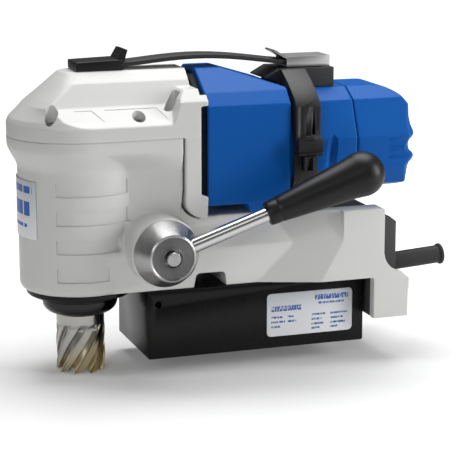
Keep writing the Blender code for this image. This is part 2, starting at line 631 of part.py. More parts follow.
def make_drive_train():
    axis = ((0.0, 0.0, MOTOR_Z), (1.0, 0.0, 0.0))
    armature = solid("armature", turned(
        [(0.0, 0.0985), (0.0040, 0.0985), (0.0040, 0.0560), (0.0115, 0.0560), (0.0115, 0.0400),
         (0.0090, 0.0400),
         (0.0150, 0.0340), (0.0150, 0.0280), (0.0200, 0.0280), (0.0200, -0.0180), (0.0150, -0.0180),
         (0.0150, -0.0240), (0.0040, -0.0250), (0.0040, -0.0460), (0.0, -0.0460)], *axis, steps=20),
         "machined_steel")
    teeth = gear_outline(PINION_TEETH, 0.0034, 0.0052, 0.60, 0.22, math.pi / 2)
    join(armature, prism([[(u, MOTOR_Z + v) for u, v in teeth]], "X", -0.0540, -0.0455))
    fan = solid("cooling_fan", turned([(0.0300, -0.0270), (0.0300, -0.0290), (0.0090, -0.0290),
                                       (0.0090, -0.0340), (0.0043, -0.0340), (0.0043, -0.0270)],
                                      *axis, hollow=True), "black_plastic")
    for blade in range(9):
        angle = 2 * math.pi * blade / 9 + 0.02
        centre = (0.0, 0.0185 * math.cos(angle), MOTOR_Z + 0.0185 * math.sin(angle))
        shape = slab((-0.0335, -0.0110, -0.0007), (-0.0280, 0.0110, 0.0007))
        turn = Matrix.Translation(centre) @ Matrix.Rotation(angle, 4, "X")
        bmesh.ops.transform(shape, matrix=turn, verts=shape.verts)
        join(fan, shape)
    spin_group("armature_spin", (0.0, 0.0, MOTOR_Z), [armature, fan])

    counter = ((0.0, 0.0, COUNTER_Z), (1.0, 0.0, 0.0))
    wheel_outline = gear_outline(WHEEL_TEETH, 0.0166, 0.0188, 0.52, 0.24,
                                 -math.pi / 2 + math.pi / WHEEL_TEETH)
    wheel = solid("counter_gear", prism([[(u, COUNTER_Z + v) for u, v in wheel_outline],
                                         arc((0.0, COUNTER_Z), 0.0043, 0, 345, 23)], "X", -0.0535, -0.0470),
                  "machined_steel")
    shaft = solid("counter_shaft", rod(0.0040, -0.1010, -0.0405, *counter, steps=16), "machined_steel")
    apex = Vector((SPINDLE_X, 0.0, COUNTER_Z))
    rings = []
    for reach in (0.0160, BEVEL_REACH):
        scale = reach / BEVEL_REACH
        outline = gear_outline(BEVEL_PINION_TEETH, 0.0060, 0.0083, 0.56, 0.20, -math.pi / 2)
        rings.append([apex + Vector((reach, scale * u, scale * v)) for u, v in outline])
    join(shaft, loft(rings))
    bearing = solid("counter_bearing", tube(0.0100, 0.0043, -0.0850, -0.0780, *counter), "machined_steel")
    spin_group("counter_spin", (0.0, 0.0, COUNTER_Z), [wheel, shaft])
    carrier = solid("bearing_carrier", slab((-0.0850, -0.0195, 0.1523), (-0.0780, 0.0195, 0.1900)),
                    "machined_steel")
    cut(carrier, rod(0.0103, -0.100, -0.060, *counter, steps=24))

    centre = (SPINDLE_X, 0.0, 0.0)
    rings = []
    for drop in (0.0052, BEVEL_DROP):
        scale = drop / BEVEL_DROP
        outline = gear_outline(BEVEL_WHEEL_TEETH, 0.0172, 0.0250, 0.56, 0.20, math.pi / BEVEL_WHEEL_TEETH)
        rings.append([apex + Vector((scale * u, scale * v, -drop)) for u, v in outline])
    bevel = solid("bevel_gear", loft(rings), "machined_steel")
    join(bevel, tube(0.0190, 0.0122, 0.1545, COUNTER_Z - BEVEL_DROP + 0.0005, centre))
    sleeve = solid("drive_sleeve", rod(0.0118, 0.1120, 0.1655, centre, steps=24), "machined_steel")
    cut(bevel, rod(0.0122, 0.150, 0.180, centre, steps=24))
    spline = gear_outline(SPLINE_TEETH, 0.0056, 0.0072, 0.70, 0.58, SPLINE_PHASE)
    cut(sleeve, prism([[(SPINDLE_X + u, v) for u, v in spline]], "Z", 0.100, 0.180))
    solid("sleeve_bearing", tube(0.0190, 0.0122, 0.1395, 0.1515, centre), "machined_steel")
    spin_group("sleeve_spin", centre, [bevel, sleeve])


# ---------------------------------------------------------------- carrying strap

def make_strap():
    clamp = solid("strap_clamp_front", slab((CLAMP_X[0], -0.0125, 0.2043), (CLAMP_X[1], 0.0125, 0.2114),
                                            [((CLAMP_X[0], 0.0, 0.2105), (-0.03, 0.0, 1.0))]),
                                            "black_plastic")
    join(clamp, prism([[(-0.0985, 0.2105), (-0.0945, 0.2105), (-0.0870, 0.2180), (-0.0885, 0.2192)]],
                      "Y", -0.0095, 0.0095))
    cut(clamp, slab((-0.1120, -0.0104, 0.2056), (-0.080, 0.0104, 0.2096)))

    count = 14
    upper, lower = [], []
    for i in range(-1, count + 2):
        share = min(max(i / count, 0.0), 1.0)
        x = CLAMP_X[1] + share * (CLIP_X[0] - CLAMP_X[1])
        if i < 0:
            x -= STRAP_TUCK
        elif i > count:
            x += STRAP_TUCK * 0.6
        middle = 0.2076 - 0.0030 * share + 0.0050 * max(0.0, math.sin(math.pi * share)) ** 1.25
        upper.append((x, middle + 0.0016))
        lower.append((x, middle - 0.0016))
    solid("carry_strap", prism([upper + lower[::-1]], "Y", -STRAP_HALF_WIDTH, STRAP_HALF_WIDTH), "rubber")

    clip = solid("strap_clip_rear", slab((CLIP_X[0], -0.0115, 0.2010), (CLIP_X[1], 0.0115, 0.2085)),
                 "polished_steel")
    join(clip, prism([[(0.0316, 0.2070), (0.0316, 0.2085), (0.0235, 0.2135), (0.0225, 0.2122)]],
                     "Y", -0.0105, 0.0105))
    cut(clip, slab((0.020, -0.0104, 0.2023), (0.0480, 0.0104, 0.2070)))


def make_motor_band():
    """Saddle over the motor for the strap's rear clip, and the band that holds it down."""
    saddle = solid("strap_saddle", slab((0.0135, -0.0170, 0.1869), (0.0660, 0.0170, 0.2005),
                                        [((0.0240, 0.0, 0.2005), (-0.0060, 0.0, 0.0110))]), "black_plastic")
    near_limb = [(-0.0100, 0.2003), (-0.0190, 0.2003), (-0.0330, 0.1925), (-0.0460, 0.1830),
                 (-0.0500, 0.1770),
                 (-0.0500, 0.1550), (-0.0435, 0.1550), (-0.0435, 0.1620), (-0.0330, 0.1805),
                 (-0.0185, 0.1875),
                 (-0.0100, 0.1880)]
    join(saddle, prism([near_limb], "X", *BAND_X))
    cut(saddle, slab((0.010, -0.060, 0.1800), (0.0224, 0.060, 0.1960),
                     [((0.0135, 0.0, 0.1940), (0.3, 0.0, 1.0))]))
    shelf = slab((BAND_X[0], -0.0560, 0.1460), (BAND_X[1], -0.0435, 0.1552))
    join(saddle, shelf)
    screw_axis = (0.0330, -0.0518, 0.0)
    cut(saddle, rod(0.0032, 0.130, 0.165, screw_axis, steps=16))

    far = [(0.0174, 0.1872), (0.0325, 0.1800), (0.0434, 0.1610), (0.0434, 0.1280), (0.0365, 0.1158),
           (0.0205, 0.1112),
           (-0.0205, 0.1112), (-0.0365, 0.1158), (-0.0434, 0.1270), (-0.0434, 0.1457), (-0.0560, 0.1457),
           (-0.0560, 0.1432), (-0.0462, 0.1432), (-0.0462, 0.1250), (-0.0385, 0.1105), (-0.0215, 0.1060),
           (0.0215, 0.1060),
           (0.0395, 0.1125), (0.0480, 0.1260), (0.0480, 0.1625), (0.0360, 0.1840), (0.0174, 0.1925)]
    band = solid("motor_band", prism([far], "X", *BAND_X), "black_plastic")
    cut(band, rod(0.0032, 0.138, 0.150, screw_axis, steps=16))
    solid("band_screw", turned([(0.0, 0.1575), (0.0029, 0.1575), (0.0029, 0.1429), (0.0049, 0.1429),
                                (0.0049, 0.1325), (0.0, 0.1325)], screw_axis, steps=16), "machined_steel")


# ---------------------------------------------------------------- control box

def make_control_box():
    cover = solid("rear_cover", slab((0.0245, -BOX_HALF_WIDTH, 0.0510), (BOX_REAR, BOX_HALF_WIDTH, BOX_TOP),
                                     [((BOX_REAR, 0.0, BOX_TOP - 0.0040), (1.0, 0.0, 1.3))]), "dark_plastic")
    join(cover, slab((0.0845, -0.0460, 0.0200), (0.1080, 0.0460, 0.0497)),
         slab((0.0845, -0.0350, 0.0400), (0.1080, 0.0350, 0.0620)))
    cut(cover, slab((0.0270, -0.0335, 0.0400), (0.1065, 0.0335, 0.0885)),
        slab((0.0870, -0.0435, 0.0100), (0.1055, 0.0435, 0.0470)))
    for y in (START_Y, STOP_Y):
        cut(cover, rod(0.0064, 0.100, 0.120, (0.0, y, BUTTON_Z), (1.0, 0.0, 0.0)))
    cut(cover, slab((0.100, SWITCH_Y - 0.0074, BUTTON_Z - 0.0104),
                    (0.120, SWITCH_Y + 0.0074, BUTTON_Z + 0.0104)))
    buttons = (("start_button", START_Y, "green_plastic"), ("stop_button", STOP_Y, "red_plastic"))
    for name, y, finish in buttons:
        button = solid(name, turned([(0.0, 0.1130), (0.0054, 0.1130), (0.0060, 0.1124), (0.0060, 0.1060),
                                     (0.0072, 0.1060), (0.0072, 0.1040), (0.0, 0.1040)],
                                    (0.0, y, BUTTON_Z), (1.0, 0.0, 0.0), 20), finish)
        spin_group(name + "_slide", (0.1130, y, BUTTON_Z), [button])
    rocker_outline = [(0.1030, BUTTON_Z - 0.0085), (0.1105, BUTTON_Z - 0.0098), (0.1128, BUTTON_Z - 0.0080),
                      (0.1108, BUTTON_Z), (0.1128, BUTTON_Z + 0.0080), (0.1105, BUTTON_Z + 0.0098),
                      (0.1030, BUTTON_Z + 0.0085)]
    rocker = solid("magnet_switch", prism([rocker_outline], "Y", SWITCH_Y - 0.0070, SWITCH_Y + 0.0070),
                   "red_plastic")
    spin_group("magnet_switch_rock", (0.1060, SWITCH_Y, BUTTON_Z), [rocker])
    solid("control_board", slab((0.0320, -0.0300, 0.0580), (0.1000, 0.0300, 0.0596)), "board")

    start, stop = Vector((0.1058, -0.0240, 0.0535)), Vector((0.1520, -0.0240, 0.0567))
    along = (stop - start).normalized()
    length = (stop - start).length
    cut(cover, rod(0.0070, -0.010, 0.010, start, along))
    sleeve = [(0.0070, length), (0.0078, length - 0.0006), (0.0078, length - 0.0022),
              (0.0067, length - 0.0034),
              (0.0067, 0.0), (0.0036, 0.0), (0.0036, length)]
    solid("strain_relief", turned(sleeve, start, along, 20, hollow=True), "rubber")


clear_scene()
parts = new_collection("magnetic_drill_press")
cutters = new_collection("cutters")
make_magnet()
make_main_housing()
make_gear_head()
make_base_ring()
make_front_label()
make_spindle()
make_feed()
make_motor_shell()
make_drive_train()
make_strap()
make_motor_band()
make_control_box()
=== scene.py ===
import json
import math

import bmesh
import bpy
from mathutils import Euler, Matrix, Vector


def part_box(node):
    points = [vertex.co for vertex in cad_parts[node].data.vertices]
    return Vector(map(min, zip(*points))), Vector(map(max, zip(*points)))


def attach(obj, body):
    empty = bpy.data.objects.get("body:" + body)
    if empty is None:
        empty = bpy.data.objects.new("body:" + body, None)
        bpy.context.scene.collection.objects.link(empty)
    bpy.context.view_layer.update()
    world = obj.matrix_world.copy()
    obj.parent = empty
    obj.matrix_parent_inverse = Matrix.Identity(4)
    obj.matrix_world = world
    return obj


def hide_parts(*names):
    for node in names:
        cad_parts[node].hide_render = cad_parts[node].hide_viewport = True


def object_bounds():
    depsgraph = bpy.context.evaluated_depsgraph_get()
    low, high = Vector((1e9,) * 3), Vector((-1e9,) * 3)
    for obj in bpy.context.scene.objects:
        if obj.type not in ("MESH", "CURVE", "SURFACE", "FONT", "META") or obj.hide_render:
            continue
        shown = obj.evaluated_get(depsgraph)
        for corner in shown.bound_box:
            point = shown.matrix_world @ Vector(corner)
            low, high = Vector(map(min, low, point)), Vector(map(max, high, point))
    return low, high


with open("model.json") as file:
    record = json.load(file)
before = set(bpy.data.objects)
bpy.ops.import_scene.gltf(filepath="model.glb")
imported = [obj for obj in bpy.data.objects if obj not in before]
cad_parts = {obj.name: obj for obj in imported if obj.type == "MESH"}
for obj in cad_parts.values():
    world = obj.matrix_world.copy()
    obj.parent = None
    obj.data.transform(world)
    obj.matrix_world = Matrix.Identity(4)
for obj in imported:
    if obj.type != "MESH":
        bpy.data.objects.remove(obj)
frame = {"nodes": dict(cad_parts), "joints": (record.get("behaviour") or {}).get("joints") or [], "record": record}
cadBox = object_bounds()
nodes = frame["nodes"]
scene = bpy.context.scene
joints = {joint["name"]: joint for joint in frame["joints"]}
bodyOf = {node: body for body, members in frame["record"]["behaviour"]["bodies"].items() for node in members}
slotOf = {part["node"]: part["material_slot"] for part in frame["record"]["subparts"]}
spindleX = (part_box("quill")[0].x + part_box("quill")[1].x) / 2
feedAt = Vector(joints["lever_feed"]["pos_m"])
motorAt = Vector(joints["armature_spin"]["pos_m"])


# Trees: one wrapper for a socket, one for a tree

class Link:
    def __init__(self, maker, socket):
        self.maker = maker
        self.socket = socket

    def combine(self, operation, first, second=None, clamp=False):
        values = {0: first} if second is None else {0: first, 1: second}
        return self.maker.add("ShaderNodeMath", {"operation": operation, "use_clamp": clamp}, values)

    def __add__(self, other):
        return self.combine("ADD", self, other)

    def __radd__(self, other):
        return self.combine("ADD", other, self)

    def __sub__(self, other):
        return self.combine("SUBTRACT", self, other)

    def __rsub__(self, other):
        return self.combine("SUBTRACT", other, self)

    def __mul__(self, other):
        return self.combine("MULTIPLY", self, other)

    def __truediv__(self, other):
        return self.combine("DIVIDE", self, other)

    def __lt__(self, other):
        return self.combine("LESS_THAN", self, other)

    def __gt__(self, other):
        return self.combine("GREATER_THAN", self, other)

    def size(self):
        return self.combine("ABSOLUTE", self)

    def wave(self):
        return self.combine("SINE", self)

    def root(self):
        return self.combine("SQRT", self)

    def kept(self):
        # held between 0 and 1
        return self.combine("ADD", self, 0.0, clamp=True)


class TreeMaker:
    def __init__(self, tree):
        self.tree = tree

    def add(self, kind, settings=None, values=None, output=0):
        node = self.tree.nodes.new(kind)
        for name, value in (settings or {}).items():
            setattr(node, name, value)
        for name, value in (values or {}).items():
            self.feed(node.inputs[name], value)
        return Link(self, node.outputs[output]) if len(node.outputs) else node

    def feed(self, socket, value):
        if isinstance(value, Link):
            self.tree.links.new(value.socket, socket)
        else:
            socket.default_value = value


# Materials

def newMaterial(name, colour, roughness, metallic=0.0, **fixed):
    material = bpy.data.materials.new(name)
    material.use_nodes = True
    maker = TreeMaker(material.node_tree)
    shader = material.node_tree.nodes["Principled BSDF"]
    shader.inputs["Base Color"].default_value = (*colour, 1.0)
    shader.inputs["Roughness"].default_value = roughness
    shader.inputs["Metallic"].default_value = metallic
    for socketName, value in fixed.items():
        shader.inputs[socketName.replace("_", " ")].default_value = value
    return material, maker, shader


def place(maker, centre=(0.0, 0.0, 0.0), stretch=(1.0, 1.0, 1.0)):
    point = maker.add("ShaderNodeTexCoord", output="Object")
    shifted = maker.add("ShaderNodeVectorMath", {"operation": "SUBTRACT"}, {0: point, 1: centre})
    return maker.add("ShaderNodeMapping", {}, {"Vector": shifted, "Scale": stretch})


def axes(maker, centre=(0.0, 0.0, 0.0)):
    split = maker.add("ShaderNodeSeparateXYZ", {}, {0: place(maker, centre)})
    node = split.socket.node
    return [Link(maker, node.outputs[i]) for i in range(3)]


def noise(maker, at, scale, detail=2.0, rough=0.5):
    values = {"Vector": at, "Scale": scale, "Detail": detail, "Roughness": rough}
    return maker.add("ShaderNodeTexNoise", {}, values)


def blendColour(maker, amount, first, second):
    mixer = maker.tree.nodes.new("ShaderNodeMix")
    mixer.data_type = "RGBA"
    for index, value in ((0, amount), (6, first), (7, second)):
        maker.feed(mixer.inputs[index], (*value, 1.0) if isinstance(value, tuple) else value)
    return Link(maker, mixer.outputs[2])


def bump(maker, height, depth, strength=1.0):
    return maker.add("ShaderNodeBump", {}, {"Strength": strength, "Distance": depth, "Height": height})


def paintFinish(name, colour, roughness, grain, depth, drift=0.03, gloss=0.5, metallic=0.0):
    # sprayed paint: orange peel, a little drift in tone and dull specks
    material, maker, shader = newMaterial(name, colour, roughness, metallic, Specular_IOR_Level=gloss)
    at = place(maker)
    peel = noise(maker, at, grain, 3.0)
    cloud = noise(maker, at, 18.0, 2.0)
    fine = noise(maker, at, grain * 3.2, 1.0)
    shade = tuple(channel * (1.0 - 2 * drift) for channel in colour)
    light = tuple(min(1.0, channel * (1.0 + drift)) for channel in colour)
    mixed = (cloud * 0.75 + fine * 0.25).kept()
    maker.feed(shader.inputs["Base Color"], blendColour(maker, mixed, shade, light))
    maker.feed(shader.inputs["Roughness"], roughness - 0.06 + cloud * 0.07 + fine * 0.06)
    maker.feed(shader.inputs["Normal"], bump(maker, peel * 0.7 + fine * 0.3, depth))
    return material


def grainFinish(name, colour, roughness, grain, depth, sheen=0.06, gloss=0.35):
    # moulded plastic with an eroded grain: small cells, pits between them
    material, maker, shader = newMaterial(name, colour, roughness, Specular_IOR_Level=gloss)
    at = place(maker)
    cells = maker.add("ShaderNodeTexVoronoi", {"feature": "F1"}, {"Vector": at, "Scale": grain})
    cloud = noise(maker, at, 26.0, 2.0)
    fine = noise(maker, at, grain * 1.7, 2.0)
    light = tuple(min(1.0, channel * 1.25 + sheen * 0.1) for channel in colour)
    mixed = (cloud * 0.6 + fine * 0.4).kept()
    maker.feed(shader.inputs["Base Color"], blendColour(maker, mixed, colour, light))
    maker.feed(shader.inputs["Roughness"], (roughness + cells * 0.10 + cloud * 0.08 - 0.08).kept())
    maker.feed(shader.inputs["Normal"], bump(maker, cells * 0.6 + fine * 0.4, depth))
    return material


def turnedFinish(name, colour, roughness, centre, axis, pitch=0.00035, depth=0.00001, mottle=0.2):
    # steel off the lathe: rings about an axis, soft blotches from handling
    material, maker, shader = newMaterial(name, colour, roughness, 1.0)
    parts = axes(maker, centre)
    across = [part for part, label in zip(parts, "XYZ") if label != axis]
    reach = (across[0] * across[0] + across[1] * across[1]).root()
    along = parts["XYZ".index(axis)]
    wobble = noise(maker, place(maker), 60.0, 2.0)
    rings = ((reach + along * 0.8) * (2 * math.pi / pitch) + wobble * 3.0).wave()
    blot = noise(maker, place(maker), 130.0, 4.0, 0.6)
    dark = tuple(channel * (1.0 - mottle) for channel in colour)
    maker.feed(shader.inputs["Base Color"], blendColour(maker, blot.kept(), dark, colour))
    maker.feed(shader.inputs["Roughness"], (roughness + rings * 0.03 + blot * 0.12 - 0.06).kept())
    maker.feed(shader.inputs["Normal"], bump(maker, rings, depth))
    return material


def brushedFinish(name, colour, roughness, stretch, depth=0.00002):
    # long scratches along one direction
    material, maker, shader = newMaterial(name, colour, roughness, 1.0)
    lines = noise(maker, place(maker, stretch=stretch), 900.0, 3.0, 0.65)
    cloud = noise(maker, place(maker), 45.0, 2.0)
    dark = tuple(channel * 0.86 for channel in colour)
    mixed = (lines * 0.7 + cloud * 0.3).kept()
    maker.feed(shader.inputs["Base Color"], blendColour(maker, mixed, dark, colour))
    maker.feed(shader.inputs["Roughness"], (roughness + lines * 0.16 - 0.08).kept())
    maker.feed(shader.inputs["Normal"], bump(maker, lines, depth))
    return material


def rubberFinish(name, colour, roughness, direction, pitch, depth=0.00005):
    # extruded rubber: fine lines along its length, dusty patches
    material, maker, shader = newMaterial(name, colour, roughness)
    parts = axes(maker)
    lines = (parts["XYZ".index(direction)] * (2 * math.pi / pitch)).wave()
    cloud = noise(maker, place(maker), 70.0, 3.0)
    fine = noise(maker, place(maker), 1500.0, 2.0)
    dusty = tuple(channel * 1.9 + 0.004 for channel in colour)
    maker.feed(shader.inputs["Base Color"], blendColour(maker, (cloud * 0.8).kept(), colour, dusty))
    maker.feed(shader.inputs["Roughness"], (roughness + fine * 0.16 - 0.08).kept())
    maker.feed(shader.inputs["Normal"], bump(maker, lines * 0.5 + fine * 0.5, depth))
    return material


def cutterFinish():
    # ground steel, straw-coloured toward the teeth, with fine grinding lines
    look = {"steel": (0.50, 0.49, 0.47), "straw": (0.74, 0.60, 0.30), "shade": (0.22, 0.20, 0.18)}
    material, maker, shader = newMaterial("cutter_coating", look["steel"], 0.24, 1.0)
    x, y, z = axes(maker, (spindleX, 0.0, 0.004))
    patch = noise(maker, place(maker, (spindleX, 0.0, 0.0)), 55.0, 3.0)
    straw = ((0.5 - z * 42.0) + (x * 26.0) + (patch - 0.5) * 1.4).kept()
    lines = noise(maker, place(maker, stretch=(0.35, 0.35, 1.4)), 1300.0, 2.0, 0.5)
    tone = blendColour(maker, straw, look["steel"], look["straw"])
    maker.feed(shader.inputs["Base Color"], blendColour(maker, (lines * 0.35).kept(), tone, look["shade"]))
    maker.feed(shader.inputs["Roughness"], (0.19 + lines * 0.08).kept())
    maker.feed(shader.inputs["Normal"], bump(maker, lines, 0.000003))
    return material


def inBar(u, v, low, high):
    # 1 inside a rectangle of the plane (u, v), else 0
    middle = [(a + b) / 2 for a, b in zip(low, high)]
    half = [(b - a) / 2 for a, b in zip(low, high)]
    return ((u - middle[0]).size() < half[0]) * ((v - middle[1]).size() < half[1])


def foilColour(maker, height, start, stop):
    # brushed foil that runs from white at start to grey at stop
    lines = noise(maker, place(maker, stretch=(0.05, 0.05, 1.0)), 2200.0, 2.0)
    slope = ((height - start) / (stop - start)).kept()
    return blendColour(maker, (slope * 0.85 + lines * 0.15).kept(), (0.86, 0.87, 0.88), (0.50, 0.53, 0.57))


def ratingPlateFinish():
    low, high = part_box("nameplate")
    material, maker, shader = newMaterial("rating_plate", (0.8, 0.8, 0.8), 0.36, 0.15)
    x, y, z = axes(maker)
    width, height = high.x - low.x, high.z - low.z
    base = foilColour(maker, z, low.z, high.z)
    printed = None
    # bars as shares of the plate: left, right, bottom, top
    rows = [(0.05, 0.40, 0.58, 0.70)]
    rows += [(0.05, 0.05 + length, level, level + 0.045)
             for length, level in ((0.13, 0.42), (0.16, 0.31), (0.10, 0.20))]
    rows += [(0.24, 0.24 + length, level, level + 0.045) for length, level in ((0.10, 0.31), (0.07, 0.42))]
    rows += [(0.52, 0.52 + length, level, level + 0.045)
             for length, level in ((0.16, 0.42), (0.12, 0.31), (0.14, 0.20), (0.10, 0.10))]
    rows += [(0.74, 0.74 + length, level, level + 0.045)
             for length, level in ((0.20, 0.42), (0.15, 0.31), (0.18, 0.20), (0.09, 0.10))]
    rows += [(0.56, 0.95, 0.78, 0.90), (0.60, 0.90, 0.68, 0.73)]
    for left, right, bottom, top in rows:
        bar = inBar(x, z, (low.x + left * width, low.z + bottom * height),
                    (low.x + right * width, low.z + top * height))
        printed = bar if printed is None else printed + bar
    dots = maker.add("ShaderNodeTexNoise", {}, {"Vector": place(maker, stretch=(1.0, 0.0, 0.35)),
                                               "Scale": 1100.0, "Detail": 0.0})
    ink = (printed.kept() * ((dots > 0.44) * 0.85 + 0.15)).kept()
    maker.feed(shader.inputs["Base Color"], blendColour(maker, ink, base, (0.015, 0.09, 0.36)))
    return material


def columnLabelFinish():
    low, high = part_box("front_label")
    material, maker, shader = newMaterial("column_label", (0.8, 0.8, 0.8), 0.34, 0.12)
    x, y, z = axes(maker, (spindleX, 0.0, 0.0))
    height = high.z - low.z
    angle = maker.add("ShaderNodeMath", {"operation": "ARCTAN2"}, {0: y, 1: x * -1.0})
    base = foilColour(maker, z, low.z, high.z)
    printed = None
    # bars by angle in radians, and by share of the height
    rows = ((-0.50, 0.50, 0.78, 0.90), (-0.44, 0.44, 0.40, 0.64), (-0.36, 0.36, 0.20, 0.26))
    for left, right, bottom, top in rows:
        bar = inBar(angle, z, (left, low.z + bottom * height), (right, low.z + top * height))
        printed = bar if printed is None else printed + bar
    gaps = ((angle * 31.0 + 0.6).wave() + (angle * 57.0).wave() * 0.6) > -1.05
    maker.feed(shader.inputs["Base Color"],
               blendColour(maker, (printed.kept() * gaps).kept(), base, (0.012, 0.11, 0.42)))
    return material


finishes = {
    "housing_paint": paintFinish("housing_paint", (0.64, 0.64, 0.625), 0.34, 620.0, 0.00004),
    "magnet_black": paintFinish("magnet_black", (0.004, 0.004, 0.0042), 0.26, 420.0, 0.00003, 0.10,
                                gloss=0.22),
    "motor_blue": grainFinish("motor_blue", (0.0, 0.078, 0.330), 0.44, 1500.0, 0.00005, 0.0, 0.16),
    "black_plastic": grainFinish("black_plastic", (0.006, 0.006, 0.0065), 0.38, 1300.0, 0.00006, 0.0, 0.30),
    "band_black": grainFinish("band_black", (0.014, 0.014, 0.015), 0.42, 1100.0, 0.00008, 0.0, 0.35),
    "box_grey": grainFinish("box_grey", (0.040, 0.040, 0.043), 0.48, 1300.0, 0.00006),
    "strap_rubber": rubberFinish("strap_rubber", (0.008, 0.008, 0.0085), 0.55, "Y", 0.0016),
    "sleeve_rubber": rubberFinish("sleeve_rubber", (0.008, 0.008, 0.0085), 0.62, "X", 0.0030),
    "polished_steel": turnedFinish("polished_steel", (0.74, 0.73, 0.72), 0.20, (spindleX, 0.0, 0.0), "Z"),
    "lever_steel": turnedFinish("lever_steel", (0.50, 0.50, 0.50), 0.27, tuple(feedAt), "Y", 0.0005,
                                0.00001, 0.12),
    "disc_steel": turnedFinish("disc_steel", (0.21, 0.21, 0.21), 0.46, tuple(feedAt), "Y", 0.0006,
                               0.00003, 0.5),
    "clip_steel": brushedFinish("clip_steel", (0.72, 0.72, 0.72), 0.34, (0.04, 0.6, 0.6), 0.000002),
    "machined_steel": brushedFinish("machined_steel", (0.44, 0.44, 0.44), 0.36, (0.3, 1.0, 1.0), 0.000004),
    "cutter_coating": cutterFinish(),
    "copper": turnedFinish("copper", (0.70, 0.28, 0.12), 0.32, (0.0, 0.0, 0.0), "Z", 0.0008, 0.00004),
    "resin": paintFinish("resin", (0.022, 0.022, 0.026), 0.40, 300.0, 0.00006),
    "bronze": turnedFinish("bronze", (0.55, 0.38, 0.16), 0.36, tuple(feedAt), "Y"),
    "green_plastic": grainFinish("green_plastic", (0.015, 0.33, 0.07), 0.34, 1800.0, 0.00003),
    "red_plastic": grainFinish("red_plastic", (0.52, 0.018, 0.018), 0.34, 1800.0, 0.00003),
    "board_green": grainFinish("board_green", (0.02, 0.18, 0.08), 0.50, 900.0, 0.00004),
    "plate_dark": paintFinish("plate_dark", (0.004, 0.004, 0.004), 0.55, 420.0, 0.00003, gloss=0.12),
    "screw_dark": paintFinish("screw_dark", (0.10, 0.10, 0.105), 0.34, 900.0, 0.00001, 0.05),
    "rod_steel": paintFinish("rod_steel", (0.66, 0.66, 0.66), 0.20, 900.0, 0.000002, 0.05, metallic=1.0),
    "nose_black": turnedFinish("nose_black", (0.05, 0.05, 0.052), 0.22, (spindleX, 0.0, 0.0), "Z"),
}
ratingPlate = ratingPlateFinish()
columnLabel = columnLabelFinish()
print("materials ready:", len(finishes) + 2)


# Shapes

def cubeShape(low, high, slices=()):
    shape = bmesh.new()
    bmesh.ops.create_cube(shape, size=1.0)
    low, high = Vector(low), Vector(high)
    for vert in shape.verts:
        vert.co = (low + high) / 2 + vert.co * (high - low)
    for point, normal in slices:
        sliceOff(shape, point, normal)
    return shape


def sliceOff(shape, point, normal):
    everything = shape.verts[:] + shape.edges[:] + shape.faces[:]
    result = bmesh.ops.bisect_plane(
        shape, geom=everything, dist=1e-7, plane_co=point, plane_no=normal, clear_outer=True)
    rim = [item for item in result["geom_cut"] if isinstance(item, bmesh.types.BMEdge)]
    if rim:
        bmesh.ops.contextual_create(shape, geom=rim)


def bothSides(point, normal):
    return [(point, normal), ((point[0], -point[1], point[2]), (normal[0], -normal[1], normal[2]))]


def rise(first, second):
    # slices through two (y, z) points, outward on the -Y side, and their mirror images
    return bothSides((0.0, first[0], first[1]), (0.0, first[1] - second[1], second[0] - first[0]))


def loftShape(rings):
    shape = bmesh.new()
    loops = [[shape.verts.new(point) for point in ring] for ring in rings]
    for lower, upper in zip(loops, loops[1:]):
        for i, vert in enumerate(lower):
            j = (i + 1) % len(lower)
            shape.faces.new((vert, lower[j], upper[j], upper[i]))
    shape.faces.new(loops[0])
    shape.faces.new(loops[-1])
    return shape


def prismShape(outline, axis, low, high):
    rings = []
    for depth in (low, high):
        if axis == "X":
            rings.append([(depth, u, v) for u, v in outline])
        elif axis == "Y":
            rings.append([(u, depth, v) for u, v in outline])
        else:
            rings.append([(u, v, depth) for u, v in outline])
    return loftShape(rings)


def axisFrame(origin, direction):
    return Matrix.Translation(origin) @ Vector(direction).to_track_quat("Z", "Y").to_matrix().to_4x4()


def turnedShape(profile, origin=(0.0, 0.0, 0.0), direction=(0.0, 0.0, 1.0), steps=96, hollow=False):
    # the profile lists (radius, height); a hollow one is closed on itself
    shape = bmesh.new()
    loops = []
    for radius, height in profile:
        if radius < 1e-6:
            loops.append([shape.verts.new((0.0, 0.0, height))])
            continue
        angles = [2 * math.pi * i / steps for i in range(steps)]
        loops.append([shape.verts.new((radius * math.cos(a), radius * math.sin(a), height)) for a in angles])
    pairs = list(zip(loops, loops[1:]))
    if hollow:
        pairs.append((loops[-1], loops[0]))
    for upper, lower in pairs:
        for i in range(steps):
            j = (i + 1) % steps
            corners = [upper[i % len(upper)], lower[i % len(lower)],
                       lower[j % len(lower)], upper[j % len(upper)]]
            kept = [corner for n, corner in enumerate(corners) if corner not in corners[:n]]
            if len(kept) > 2:
                shape.faces.new(kept)
    bmesh.ops.transform(shape, matrix=axisFrame(origin, direction), verts=shape.verts)
    return shape


def rodShape(radius, low, high, origin=(0.0, 0.0, 0.0), direction=(0.0, 0.0, 1.0), steps=64):
    return turnedShape([(0.0, high), (radius, high), (radius, low), (0.0, low)], origin, direction, steps)


def ballShape(centre, radii, turn=(0.0, 0.0, 0.0)):
    shape = bmesh.new()
    bmesh.ops.create_uvsphere(shape, u_segments=48, v_segments=32, radius=1.0)
    matrix = Matrix.LocRotScale(Vector(centre), Euler(turn), Vector(radii))
    bmesh.ops.transform(shape, matrix=matrix, verts=shape.verts)
    return shape


def arcPoints(centre, radius, start, stop, count=8):
    angles = [math.radians(start + (stop - start) * i / count) for i in range(count + 1)]
    return [(centre[0] + radius * math.cos(a), centre[1] + radius * math.sin(a)) for a in angles]


def smooth(value, low, high):
    share = min(max((value - low) / (high - low), 0.0), 1.0)
    return share * share * (3 - 2 * share)


